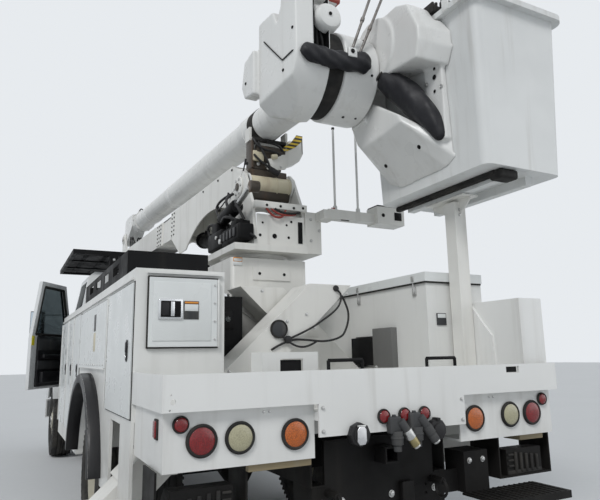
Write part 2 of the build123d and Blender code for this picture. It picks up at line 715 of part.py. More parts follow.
def tail_shelf():
    """Full-width rear shelf with its lip, side faces and recessed lamp boxes."""
    w, c = BODY_HALF, CENTRE_HALF
    lip = rear_plate([(-w, SHELF_LOW), (-c, SHELF_LOW), (-c, CENTRE_LOW), (c, CENTRE_LOW),
                      (c, SHELF_LOW), (w, SHELF_LOW), (w, SHELF_TOP), (-w, SHELF_TOP)], 0, SHELF_PLATE)
    for side in (-1, 1):
        rear = LEFT_REAR if side < 0 else RIGHT_REAR
        x0, x1 = sorted((side * w, side * (w - SHELF_PLATE)))
        lip += block(x0, x1, SHELF_PLATE - 1, rear, SHELF_LOW, SHELF_TOP)
        x0, x1 = sorted((side * (w - SHELF_PLATE), side * BAY_INNER))
        lip += block(x0, x1, SHELF_PLATE - 1, rear, SHELF_LOW, SHELF_LOW + SHELF_PLATE)
        x0, x1 = sorted((side * (w - 20), side * c))
        lip += block(x0, x1, LAMP_SETBACK, LAMP_SETBACK + SHELF_PLATE, LAMP_BOX_LOW, SHELF_LOW + 1)
        lip += block(x0, x1, LAMP_SETBACK, 230, LAMP_BOX_LOW, LAMP_BOX_LOW + SHELF_PLATE)
        x0, x1 = sorted((side * (w - 20), side * (w - 32)))
        lip += block(x0, x1, LAMP_SETBACK, rear, LAMP_BOX_LOW, SHELF_LOW + 1)
    lip += block(-CENTRE_HALF, CENTRE_HALF, SHELF_PLATE - 1, LAMP_SETBACK + SHELF_PLATE,
                 DECK_TOP - DECK_T, DECK_TOP)
    stub_end = STUB_X + 41
    lip += block(w - 200, w, 60, RIGHT_REAR, SHELF_LOW + 1, 1705)
    lip += side_plate([(RIGHT_REAR, 1690), (460, 1690), (360, 1560), (290, 1480), (280, 1300),
                       (280, SHELF_LOW + 1), (RIGHT_REAR, SHELF_LOW + 1)], stub_end - 1, stub_end + 15)
    lip += block(STUB_X, stub_end, STUB_Y, RIGHT_REAR, SHELF_LOW + 1, STUB_TOP)
    lip -= block(800, 905, -1, SHELF_PLATE + 1, 1250, 1288)
    for x, z, r in LIP_HOLES:
        lip -= rod_y(-1, SHELF_PLATE + 1, x, z, r)
    return lip


# Holes through the shelf's lip: x, z, radius
LIP_HOLES = [(-1172, 1185, 12), (-1182, 1214, 4), (-1185, 1150, 4)]


def rear_ironwork():
    """Black grab hoops behind the lip and the chock holders under both lamp boxes."""
    pieces = []
    y = SHELF_PLATE + GRAB_R + SEAT_GAP
    for x0, x1 in GRAB_X:
        hoop = rod_x(x0, x1, y, GRAB_TOP, GRAB_R)
        for x in (x0, x1):
            hoop += rod_z(DECK_TOP + SEAT_GAP, GRAB_TOP, x, y, GRAB_R)
        pieces.append(hoop)
    (y0, y1), z0, (x0, x1) = CHOCK_Y, CHOCK_LOW, (BODY_HALF - CHOCK_BOX_W, BODY_HALF)
    holder = block(x0, x1, y0, y1, z0, z0 + CHOCK_PLATE)
    for x in (x0, x1 - CHOCK_PLATE):
        holder += block(x, x + CHOCK_PLATE, y0, y1, z0, LAMP_BOX_LOW)
    top = z0 + CHOCK_PLATE
    holder += side_plate([(y0 + 10, top), (y1 - 10, top), (y1 - 10, top + 45), (y0 + 100, top + 145),
                          (y0 + 10, top + 145)], x0 + 70, x1 - 70)
    return Compound(pieces + [holder, mirror_x(holder)])


def reservoir():
    """The hydraulic oil tank behind the crossed beams, and the grey switch box on the right row."""
    tank = rear_plate([(-520, DECK_TOP), (-520, 1790), (-350, 1790), (-350, DECK_TOP)], 1290, 1570)
    box = block(BAY_INNER - 45, BAY_INNER, 930, 1160, 1280, 1560)
    return Compound([tank, box])


# Rear lamps: centre x, centre z, radius, setback of the panel they sit in
LAMPS = [
    (-1125, 1085, 38, LAMP_SETBACK), (-1030, 1010, 73, LAMP_SETBACK),
    (-850, 1010, 73, LAMP_SETBACK), (-570, 1005, 73, LAMP_SETBACK),
    (-90, 1060, 38, 0), (40, 1060, 38, 0), (170, 1060, 38, 0),
    (570, 1005, 73, LAMP_SETBACK), (850, 1010, 73, LAMP_SETBACK),
    (1030, 1010, 73, LAMP_SETBACK), (1125, 1085, 38, LAMP_SETBACK),
]


def tail_lamps():
    """Round lamps in rubber rings, standing proud of their panels."""
    lamps = [rod_y(back - 16, back, x, z, r) + rod_y(back - 24, back - 16, x, z, r * 0.76)
             for x, z, r, back in LAMPS]
    return Compound(lamps)


def hitch():
    """Drop hitch under the tail with its receiver and bolt holes."""
    rail_low, (low, high) = RAIL_TOP - RAIL_H, RECEIVER_Z
    plate = block(-420, 420, 165, 185, 560, rail_low) + block(-348, 348, 165, 185, rail_low - 1, 940)
    body = plate - block(-RECEIVER_HALF - 10, RECEIVER_HALF + 10, 164, 186, low - 10, high + 10)
    body += block(520, 700, 100, 260, 599, 820) + block(419, 521, 165, 185, 600, rail_low)
    body += block(510, 1070, -150, 120, 588, 600) + block(510, 1070, -150, -142, 560, 600)
    for x in (-HITCH_PITCH[0] / 2, HITCH_PITCH[0] / 2):
        for z in (-HITCH_PITCH[1] / 2, HITCH_PITCH[1] / 2):
            body -= rod_y(160, 190, PINTLE_X + x, PINTLE_Z + z, HITCH_HOLE_R)
    for side in (-1, 1):
        x = side * 390
        body += block(x - 8, x + 8, 184, 420, 600, RAIL_TOP - RAIL_H)
    return body



def receiver():
    """Square tube that takes a ball mount's shank, welded through the hitch plate."""
    low, high = RECEIVER_Z
    tube = block(-RECEIVER_HALF - 10, RECEIVER_HALF + 10, 60, 400, low - 10, high + 10)
    return tube - block(-RECEIVER_HALF, RECEIVER_HALF, 59, 401, low, high)


def bucket_post():
    """Upright post with the saddle that the bucket rests on."""
    x, y, h = POST_X, POST_Y, POST_W / 2
    post = block(x - h, x + h, y - h, y + h, SHELF_LOW + SHELF_PLATE, SADDLE_TOP - 30)
    saddle = side_plate([(y - 60, 2330), (y + 60, 2330), (y + 225, SADDLE_TOP - 30),
                         (y + 225, SADDLE_TOP), (y - 160, SADDLE_TOP), (y - 160, SADDLE_TOP - 30)],
                        x - 6, x + 6)
    top = block(x - 70, x + 70, y - 160, y + 225, SADDLE_TOP - 12, SADDLE_TOP)
    post -= block(STUB_X, STUB_X + 56, STUB_Y, y + h + 1, SHELF_LOW, STUB_TOP)
    return post + saddle + top


def pedestal():
    """Square column on the frame, up to the slewing ring."""
    y0, y1 = PEDESTAL_Y
    h = PEDESTAL_HALF
    body = block(-h, h, y0, y1, DECK_TOP, PEDESTAL_TOP)
    body = fillet(body.edges().filter_by(Axis.Z), 30)
    yc = (y0 + y1) / 2
    body += rod_z(PEDESTAL_TOP, PEDESTAL_TOP + SLEW_H / 2, 0, yc, SLEW_R)
    body += block(-h - 40, h + 40, y0 - 10, y1 + 60, DECK_TOP, DECK_TOP + 25)
    body += rear_plate([(-h, 1890), (30, 1940), (160, 1810), (-90, 1610), (-h, 1760)], y0 - 14, y0 + 1)
    body += block(-150, 170, y0 - 9, y0 + 1, 1960, 2060)
    return body

def turret():
    """Turntable with two cheek plates that carry the lower boom."""
    base = PEDESTAL_TOP + SLEW_H / 2 + FIT
    top = base + TURNTABLE_T
    body = rod_z(base, base + 30, 0, SLEW_Y, SLEW_R)
    inner = BOOM_HALF + 6
    outer = inner + TURRET_PLATE
    body += block(-330, BOOM_X + outer, TURRET_REAR, 2330, base + 29, top)
    cheek = [(TURRET_REAR + 20, top - 1), (TURRET_REAR + 60, 2560), (PIVOT_Y - 130, 2860),
             (PIVOT_Y - 60, 2920), (PIVOT_Y + 60, 2920), (PIVOT_Y + 130, 2860), (2330, top - 1)]
    for x0, x1 in ((BOOM_X - outer, BOOM_X - inner), (BOOM_X + inner, BOOM_X + outer)):
        body += side_plate(cheek, x0, x1)
    body += block(BOOM_X - inner - 1, BOOM_X + inner + 1, TURRET_REAR + 20, TURRET_REAR + 32, top - 1, 2480)
    body += block(BOOM_X + outer - 1, 450, TURRET_REAR + 40, 2150, top - 40, 2540)
    body += block(449, 1180, 1400, 1480, 2470, 2550) + block(400, 520, 1400, TURRET_REAR + 60, 2470, 2540)
    body += block(900, 1180, 1360, 1520, 2460, 2610)
    body -= rod_x(BOOM_X - outer - 1, BOOM_X + outer + 1, PIVOT_Y, PIVOT_Z, PIVOT_R + PIN_PLAY)
    ty, tz = PIVOT_Y + TURRET_EYE[0], PIVOT_Z + TURRET_EYE[1]
    body += rod_x(BOOM_X - inner - 1, BOOM_X + inner + 1, ty, tz, LIFT_PIN_R)
    return body


def at_lower(shape):
    """From the lower boom's own frame to its place on the truck."""
    return Pos(BOOM_X, PIVOT_Y, PIVOT_Z) * Rot(LOWER_RISE, 0, 0) * shape


def lower_boom():
    """Deep base weldment, insulating insert, front box and elbow ears."""
    h = BOOM_HALF
    low = LOWER_TOP - LOWER_DEPTH
    arch = Polyline((-140, 0), (-100, -110), (250, -150)) + \
        ThreePointArc((250, -150), (1050, -40), (1700, -290)) + \
        Polyline((1700, -290), (1950, -300), (BASE_LEN, low), (BASE_LEN, LOWER_TOP),
                 (250, LOWER_TOP), (-60, 130), (-140, 0))
    body = extrude(Plane.YZ.offset(-h) * make_face(arch), 2 * h)
    body -= block(LOWER_PLATE - h, h - LOWER_PLATE, 150, BASE_LEN - 60, -400, LOWER_TOP - LOWER_PLATE)
    body += rod_x(-h, h, 0, 0, PIVOT_R + 40)
    body += rod_x(-h - 5 - TURRET_PLATE, h + 5 + TURRET_PLATE, 0, 0, PIVOT_R)
    for side in (-1, 1):
        x0, x1 = sorted((side * 50.3, side * (h - LOWER_PLATE + 1)))
        body += rod_x(x0, x1, LIFT_EYE[0], LIFT_EYE[1], 35)
    a, b = BASE_LEN - 1, BASE_LEN + INSERT_LEN
    body += block(-INSERT_HALF, INSERT_HALF, a, b + 1, low + 12, LOWER_TOP - 12)
    body += block(-INSERT_HALF - 15, INSERT_HALF + 15, b, ELBOW_AT - 260, low, LOWER_TOP)
    ear_in = ELBOW_LUG_HALF + EAR_GAP
    ear = [(ELBOW_AT - 700, low), (ELBOW_AT - 60, low + 20), (ELBOW_AT + EAR_R, 200),
           (ELBOW_AT + EAR_R, ELBOW_UP), (ELBOW_AT - EAR_R, ELBOW_UP), (ELBOW_AT - 300, LOWER_TOP),
           (ELBOW_AT - 700, LOWER_TOP)]
    for side in (-1, 1):
        x0, x1 = sorted((side * ear_in, side * (ear_in + EAR_T)))
        body += side_plate(ear, x0, x1) + rod_x(x0, x1, ELBOW_AT, ELBOW_UP, EAR_R)
    body += rod_x(-ear_in - 1, ear_in + 1, ELBOW_AT, ELBOW_UP, 45)
    return at_lower(body) + boom_cradle()


def upper_tube_z(y):
    """Height of the upper boom's tube at one place along the truck."""
    ye, ze = elbow_point()
    a = radians(UPPER_FALL)
    return ze + UPPER_UP / cos(a) - (ye - y) * tan(a)


def boom_cradle():
    """The U that the upper boom rests in, on the lower boom's rear end."""
    x, y, gap = BOOM_X + UPPER_SHIFT, PIVOT_Y + 10, UPPER_R + PLAY + 6
    seat = upper_tube_z(y - 60) - UPPER_R - PLAY
    cup = block(x - gap - 20, x + gap + 20, y - 50, y + 50, seat - 30, seat + 90)
    cup -= block(x - gap, x + gap, y - 51, y + 51, seat, seat + 91)
    return cup + block(x - 110, x + 110, y - 40, y + 40, PIVOT_Z + 60, seat - 29)


def elbow_point():
    """The elbow pin's (y, z) on the truck."""
    c, s = cos(radians(LOWER_RISE)), sin(radians(LOWER_RISE))
    return PIVOT_Y + ELBOW_AT * c - ELBOW_UP * s, PIVOT_Z + ELBOW_AT * s + ELBOW_UP * c


def at_upper(shape):
    """From the upper boom's own frame, which runs to the rear, to its place."""
    y, z = elbow_point()
    return Pos(BOOM_X + UPPER_SHIFT, y, z) * Rot(UPPER_FALL, 0, 0) * shape


def upper_boom():
    """Round tube with a steel elbow lug and joint collars."""
    tube = rod_y(-UPPER_LEN, -ELBOW_CLEAR, 0, UPPER_UP, UPPER_R)
    tube -= rod_y(-UPPER_LEN - 1, -900, 0, UPPER_UP, UPPER_R - UPPER_WALL)
    for y in (-820, -760):
        tube += rod_y(y - 20, y + 20, 0, UPPER_UP, UPPER_R + 22)
    lug = side_plate([(-560, UPPER_UP - 60), (-120, -40), (-60, -100), (60, -100), (115, -40), (115, 80),
                      (60, UPPER_UP + 100), (-60, UPPER_UP + 140), (-560, UPPER_UP + 140)],
                     -ELBOW_LUG_HALF - 30, ELBOW_LUG_HALF - 30)
    tube += lug
    tube -= rod_x(-400, 400, 0, 0, 45 + PIN_PLAY)
    return at_upper(tube)


def beyond(origin, along, towards):
    """Everything outside the plane through a point, a line on it and the outward direction."""
    return Plane(origin=origin, x_dir=along, z_dir=towards) * Pos(0, 0, 1000) * Box(4000, 4000, 2000)


def tip_cover():
    """The left cover: flat above, round below like the drum, with its left side set askew."""
    r = TIP_COVER_R
    back, front, low, yc = TIP_Y - TIP_DISC_R, TIP_Y + 170, TIP_Z - r, TIP_Y - TIP_DISC_R + r
    part_way = r * cos(radians(45))
    outline = Polyline((front, low + 50), (front, TIP_SHOULDER), (TIP_Y - 40, TIP_SHOULDER),
                       (TIP_Y - 90, TIP_SHOULDER - 125), (TIP_Y - 140, TIP_SHOULDER),
                       (TIP_Y - 140, TIP_TOP), (back, TIP_TOP), (back, TIP_Z)) + \
        ThreePointArc((back, TIP_Z), (yc - part_way, TIP_Z - part_way), (yc, low)) + \
        Polyline((yc, low), (front, low + 50))
    x0, x1 = TIP_COVER_X
    cover = extrude(Plane.YZ.offset(x0) * make_face(outline), x1 - x0)
    rear_low, front_low, under = (x0 + 60, back, 3235), (x0, 1060, 3180), (x0 + 110, 1060, low + 25)
    run = [q - p for p, q in zip(rear_low, front_low)]
    cover -= beyond(rear_low, (run[0], run[1], 0), (-run[1], run[0], 0))
    face = Vector(*run).cross(Vector(*[q - p for p, q in zip(rear_low, under)]))
    face = face if face.Z < 0 else face * -1
    cover -= beyond(rear_low, run, (face.X, face.Y, face.Z))
    cover -= block(WELL_X[0], WELL_X[1], back - 1, TIP_Y + 60, TIP_Z + 30, TIP_TOP + 1)
    return cover


def boom_tip():
    """Covers over the boom's tip, the drum cover with its groove, and the load winch."""
    groove, (x0, x1) = TIP_COVER_X[1], TIP_DISC_X
    tip = tip_cover() + rod_x(groove - 1, x0 + 1, TIP_Y, TIP_Z, TIP_DISC_R - 35)
    tip += rod_x(x0, x1, TIP_Y, TIP_Z, TIP_DISC_R)
    side = TIP_COVER_X[0]
    tip += side_plate([(TIP_Y + 160, 3260), (TIP_Y + 340, 3290), (TIP_Y + 400, 3400), (TIP_Y + 340, 3590),
                       (TIP_Y + 160, 3610)], side - 45, side + 55)
    tip -= rod_x(x1 - 40, x1 + 1, TIP_Y, TIP_Z, 60.05)
    tip += rod_x(WELL_X[0] - 1, WELL_X[1] + 90, TIP_Y - 210, 3765, 70)
    tip += block(WELL_X[0] - 1, WELL_X[1] + 120, TIP_Y - 300, TIP_Y - 30, 3845, TIP_TOP + 50)
    tube_gap = at_upper(rod_y(-UPPER_LEN - 1, -3000, 0, UPPER_UP, UPPER_R + FIT))
    return tip - tube_gap


def bucket():
    """Two-man bucket: drafted walls, rolled lip, open top."""
    x0, x1 = BUCKET_X
    y0, y1 = BUCKET_Y
    z0, z1 = BUCKET_Z
    cx, cy = (x0 + x1) / 2, (y0 + y1) / 2
    w, d = x1 - x0, y1 - y0

    def tub(inset, low, high):
        draft = BUCKET_DRAFT
        return loft([Plane.XY.offset(low) * Pos(cx, cy) * RectangleRounded(
            w - 2 * draft - 2 * inset, d - 2 * draft - 2 * inset, 60),
            Plane.XY.offset(high) * Pos(cx, cy) * RectangleRounded(w - 2 * inset, d - 2 * inset, 60)])

    body = tub(0, z0, z1)
    lip = extrude(Plane.XY.offset(z1 - 40) * Pos(cx, cy)
                  * RectangleRounded(w + 2 * BUCKET_LIP, d + 2 * BUCKET_LIP, 80), 40)
    body += lip
    body -= tub(BUCKET_WALL, z0 + BUCKET_WALL, z1 + 1)
    for x in (cx - 150, cx + 110):
        body += block(x, x + 60, y0 + 150, y1 - 150, SKID_Z, z0 + 1)
    return body


def bucket_wall_x(z):
    """The x of the bucket's drafted left wall at one height."""
    return BUCKET_X[0] + BUCKET_DRAFT * (BUCKET_Z[1] - z) / (BUCKET_Z[1] - BUCKET_Z[0])


# Covers of the bucket's mount: (y, z) corners next to the drum and next to the bucket
MOUNT_WEDGE = [
    ((440, 2940), (160, 2605)), ((560, 2930), (250, 2560)), ((930, 2900), (740, 2550)),
    ((990, 2960), (880, 2610)), ((1050, 3110), (1250, 3050)), ((1000, 3200), (1230, 3290)),
    ((760, 3200), (1010, 3340)), ((480, 3010), (160, 2710)),
]
MOUNT_HEAD = [
    ((230, 3300), (140, 3250)), ((200, 3420), (80, 3350)), ((200, 3520), (80, 3460)),
    ((300, 3740), (210, 3660)), ((420, 3790), (380, 3860)), ((640, 3790), (640, 3860)),
    ((620, 3340), (620, 3380)),
]


def mount_cover(corners, x0, x1):
    """A cover between its outline next to the drum and its outline next to the bucket."""
    return loft([Plane.YZ.offset(x) * make_face(Polyline(*[pair[i] for pair in corners], close=True))
                 for i, x in ((0, x0), (1, x1))], ruled=True)


def bucket_mount():
    """Covers and bracket from the levelling pin to the bucket's side."""
    x0, x1 = TIP_DISC_X[1] + 5, BUCKET_X[0] + BUCKET_DRAFT
    body = rod_x(TIP_DISC_X[1] - 38, x0 + 1, TIP_Y, TIP_Z, 60) + rod_x(x0, x0 + 165, TIP_Y - 220, 3570, 258)
    body += mount_cover(MOUNT_WEDGE, x0 + 25, x1 + 10) + mount_cover(MOUNT_HEAD, x0 + 15, x1 + 10)
    body += block(BUCKET_X[0] - 25, x1 + 10, 190, 370, 2750, 3400)
    body += block(x0, BUCKET_X[0], TIP_Y - 90, TIP_Y + 90, 3080, TIP_Z + 100)
    low, lip = 2400, BUCKET_Z[1] - 50
    x_lip = BUCKET_X[0] - BUCKET_LIP - 10
    return body & rear_plate([(TIP_DISC_X[1] - 50, low), (bucket_wall_x(low), low), (bucket_wall_x(lip), lip),
                              (x_lip, lip), (x_lip, 4000), (TIP_DISC_X[1] - 50, 4000)], 0, 1400)


def lift_cylinder_line():
    """Both ends of the lift cylinder on the truck, as (y, z) pairs."""
    c, s = cos(radians(LOWER_RISE)), sin(radians(LOWER_RISE))
    eye = (PIVOT_Y + LIFT_EYE[0] * c - LIFT_EYE[1] * s, PIVOT_Z + LIFT_EYE[0] * s + LIFT_EYE[1] * c)
    return (PIVOT_Y + TURRET_EYE[0], PIVOT_Z + TURRET_EYE[1]), eye


def on_lift_line(shape):
    """From the cylinder's own frame, along Y from the turret's eye."""
    (ya, za), (yb, zb) = lift_cylinder_line()
    return Pos(BOOM_X, ya, za) * Rot(degrees(atan2(zb - za, yb - ya)), 0, 0) * shape


def lift_length():
    (ya, za), (yb, zb) = lift_cylinder_line()
    return hypot(yb - ya, zb - za)


def lift_barrel():
    """Lift cylinder barrel with its lower eye."""
    body = rod_x(-50, 50, 0, 0, 55) + rod_y(40, lift_length() - 130, 0, 0, LIFT_BORE_R)
    body -= rod_x(-60, 60, 0, 0, LIFT_PIN_R + PIN_PLAY)
    body -= rod_y(120, lift_length(), 0, 0, 45 + PIN_PLAY)
    return on_lift_line(body)


def lift_rod():
    """Lift cylinder rod with its upper eye."""
    end = lift_length()
    body = rod_y(140, end - 40, 0, 0, 45) + rod_x(-50, 50, end, 0, 55)
    return on_lift_line(body)


def tyre():
    """A tyre about X, centred on the origin, with many flat sides to keep its facets few."""
    w, t = TYRE_W / 2, TREAD_W / 2
    stations = [(10 - t, BEAD_R + 12), (-w, TYRE_R - 95), (-t, TYRE_R)]
    stations += [(-x, r) for x, r in reversed(stations)]
    body = loft([Plane.YZ.offset(x) * RegularPolygon(r, TYRE_SIDES) for x, r in stations], ruled=True)
    bore = RegularPolygon(BEAD_R, TYRE_SIDES, major_radius=False)
    return body - extrude(Plane.YZ.offset(-w) * bore, 2 * w)


def rim(disc_x, edge_x, hub_to):
    """A disc wheel about X: barrel, coned disc with hand holes from the barrel's edge, and hub."""
    r = BEAD_R - FIT
    t = TREAD_W / 2 - 8
    body = turned_x([(-t, r), (t, r), (t, r - RIM_WALL), (-t, r - RIM_WALL)], 0, 0, 0)
    body += turned_x([(edge_x, r - RIM_WALL + 1), (edge_x + DISC_T, r - RIM_WALL + 1),
                      (disc_x + DISC_T, DISC_R), (disc_x + DISC_T, 0), (disc_x, 0), (disc_x, DISC_R)],
                     0, 0, 0)
    for i in range(HAND_HOLES):
        a = radians(360 / HAND_HOLES * i)
        body -= rod_x(disc_x - 1, disc_x + DISC_T + 1, HAND_HOLE_PCR * cos(a),
                      HAND_HOLE_PCR * sin(a), HAND_HOLE_R)
    x0, x1 = sorted((disc_x + 6, hub_to))
    return body + rod_x(x0, x1, 0, 0, HUB_R)


def front_wheel(side):
    """Tyre and rim of a front wheel; the disc is dished out and carries the drum."""
    inner = 905 + FIT - FRONT_WHEEL_X
    body = rim(70, 30, 130) + rod_x(inner, 76, 0, 0, 95) + rod_x(inner, inner + 90, 0, 0, DRUM_R)
    place = Pos(FRONT_WHEEL_X, FRONT_AXLE_Y, TYRE_R)
    parts = place * tyre(), place * body
    return parts if side > 0 else tuple(mirror_x(p) for p in parts)


def knuckle(side):
    """Steering knuckle: ears on the kingpin, web, spindle flange and steering arm."""
    z, y, x = TYRE_R, FRONT_AXLE_Y, KINGPIN_X
    gap = 45 + FIT
    body = rod_z(z - 80, z + 80, x, y, KINGPIN_R)
    for z0, z1 in ((z + gap, z + gap + 35), (z - gap - 35, z - gap)):
        body += rod_z(z0, z1, x, y, STEER_EYE_R) + block(x, 905, y - 45, y + 45, z0, z1)
    body += block(x + STEER_EYE_R + 6 - 10, 905, y - 60, y + 60, z - gap - 35, z + gap + 35) \
        - rod_z(z - gap, z + gap, x, y, STEER_EYE_R + 4)
    body += rod_x(x + STEER_EYE_R + 1.5, 905, y, z, 180)
    body += block(x - 20, x + 20, y - 210, y - 40, z - gap - 35, z - gap)
    return body if side > 0 else mirror_x(body)


def rear_wheels(side):
    """Twin tyres and their joined rims with hub and drum."""
    outer, inner = REAR_OUTER_X, REAR_OUTER_X - TWIN_PITCH
    mid = (outer + inner) / 2
    start = REAR_OUTER_X - TWIN_PITCH - TYRE_W / 2 + 25 + FIT
    place_o, place_i = Pos(outer, REAR_AXLE_Y, TYRE_R), Pos(inner, REAR_AXLE_Y, TYRE_R)
    edge = TREAD_W / 2 - 8
    rims = place_o * rim(mid - outer, 4 - edge, -120)
    rims += place_i * rim(mid - inner - DISC_T, edge - DISC_T - 4, 170)
    rims += rod_x(start, mid, REAR_AXLE_Y, TYRE_R, HUB_R) + rod_x(start, start + 160, REAR_AXLE_Y, TYRE_R, DRUM_R)
    rims += rod_x(mid, outer + 20, REAR_AXLE_Y, TYRE_R, 85)
    tyres = Compound([place_o * tyre(), place_i * tyre()])
    if side > 0:
        return tyres, rims
    return mirror_x(tyres), mirror_x(rims)


def all_pieces():
    """Every piece by its node's name, in the building frame."""
    pieces = {
        "frame_rails": frame_rails(), "front_axle": front_axle(), "rear_axle": rear_axle(),
        "engine": engine(), "side_tanks": side_tanks(), "front_bumper": front_bumper(),
        "cab_shell": cab_shell(), "cab_glass": cab_glass(), "dashboard": dashboard(),
        "seats": seats(), "cab_guard": cab_guard(), "hood": hood(), "grille": grille(),
        "deck": deck(), "compartments_left": compartments(-1), "compartments_right": compartments(1),
        "top_tray": top_tray(), "bin_lid": bin_lid(), "end_door": end_door(),
        "tail_shelf": tail_shelf(), "tail_lamps": tail_lamps(), "hitch": hitch(),
        "receiver": receiver(),
        "rear_ironwork": rear_ironwork(), "reservoir": reservoir(),
        "bucket_post": bucket_post(), "outrigger_housings": outrigger_housings(),
        "outrigger_leg_left": outrigger_leg(-1), "outrigger_leg_right": outrigger_leg(1),
        "pedestal": pedestal(), "turret": turret(), "lower_boom": lower_boom(),
        "upper_boom": upper_boom(), "boom_tip": boom_tip(), "bucket": bucket(),
        "bucket_mount": bucket_mount(), "lift_barrel": lift_barrel(), "lift_rod": lift_rod(),
        "cab_door_left": opened_left(cab_door(-1)), "cab_door_right": cab_door(1),
        "door_glass_left": opened_left(cab_door_glass(-1)), "door_glass_right": cab_door_glass(1),
    }
    for name, side, y0, y1, z0, z1, hinge in BAYS:
        pieces["door_" + name] = bay_door(y0, y1, z0, z1, side)
    for side, word in ((-1, "left"), (1, "right")):
        pieces["tyre_front_" + word], pieces["rim_front_" + word] = front_wheel(side)
        pieces["tyres_rear_" + word], pieces["rims_rear_" + word] = rear_wheels(side)
        pieces["knuckle_" + word] = knuckle(side)
    return pieces


def main():
    os.makedirs("parts", exist_ok=True)
    for name, piece in all_pieces().items():
        export_step(Pos(0, SHIFT_Y, 0) * piece, "parts/" + name + ".step")


if __name__ == "__main__":
    main()
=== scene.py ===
import logging
import math
from dataclasses import dataclass, field
from enum import Enum
from typing import Iterable, Sequence

import bmesh
import bpy
from mathutils import Matrix, Vector


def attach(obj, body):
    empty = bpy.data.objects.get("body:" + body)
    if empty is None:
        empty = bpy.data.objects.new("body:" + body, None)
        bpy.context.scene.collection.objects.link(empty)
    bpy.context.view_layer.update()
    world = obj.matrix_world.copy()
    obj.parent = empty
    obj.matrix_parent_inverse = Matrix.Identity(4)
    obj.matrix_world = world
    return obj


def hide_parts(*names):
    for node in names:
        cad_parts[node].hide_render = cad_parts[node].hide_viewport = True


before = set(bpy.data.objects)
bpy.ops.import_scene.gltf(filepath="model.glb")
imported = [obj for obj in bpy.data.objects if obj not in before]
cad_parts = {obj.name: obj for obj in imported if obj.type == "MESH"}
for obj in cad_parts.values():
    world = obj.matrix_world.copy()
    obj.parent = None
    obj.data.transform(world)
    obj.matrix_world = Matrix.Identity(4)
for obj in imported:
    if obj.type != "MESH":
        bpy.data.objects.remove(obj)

LOG = logging.getLogger("bucket_truck")
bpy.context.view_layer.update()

# Forward shift, in millimetres, from the tail shelf's face to the middle of the truck
MIDDLE = 3854.0
Point = Sequence[float]
Outline = Sequence[tuple[float, float]]


def place(x: float, y: float, z: float) -> Vector:
    """Turns millimetres measured from the tail into the frame's metres.

    Args:
        x: Distance to the truck's right.
        y: Distance forward of the tail shelf's rear face.
        z: Height over the ground.

    Returns:
        The same point in metres from the middle of the truck.
    """
    return Vector((x / 1000, (y - MIDDLE) / 1000, z / 1000))


class Side(Enum):
    """Left or right of the truck, as the sign of X."""

    LEFT = -1
    RIGHT = 1

    @property
    def word(self) -> str:
        """The side's name as the CAD nodes end with it."""
        return self.name.lower()


class Axis(Enum):
    """The direction that a flat outline is thickened along."""

    X = 0
    Y = 1
    Z = 2


# ---------------------------------------------------------------- finishes

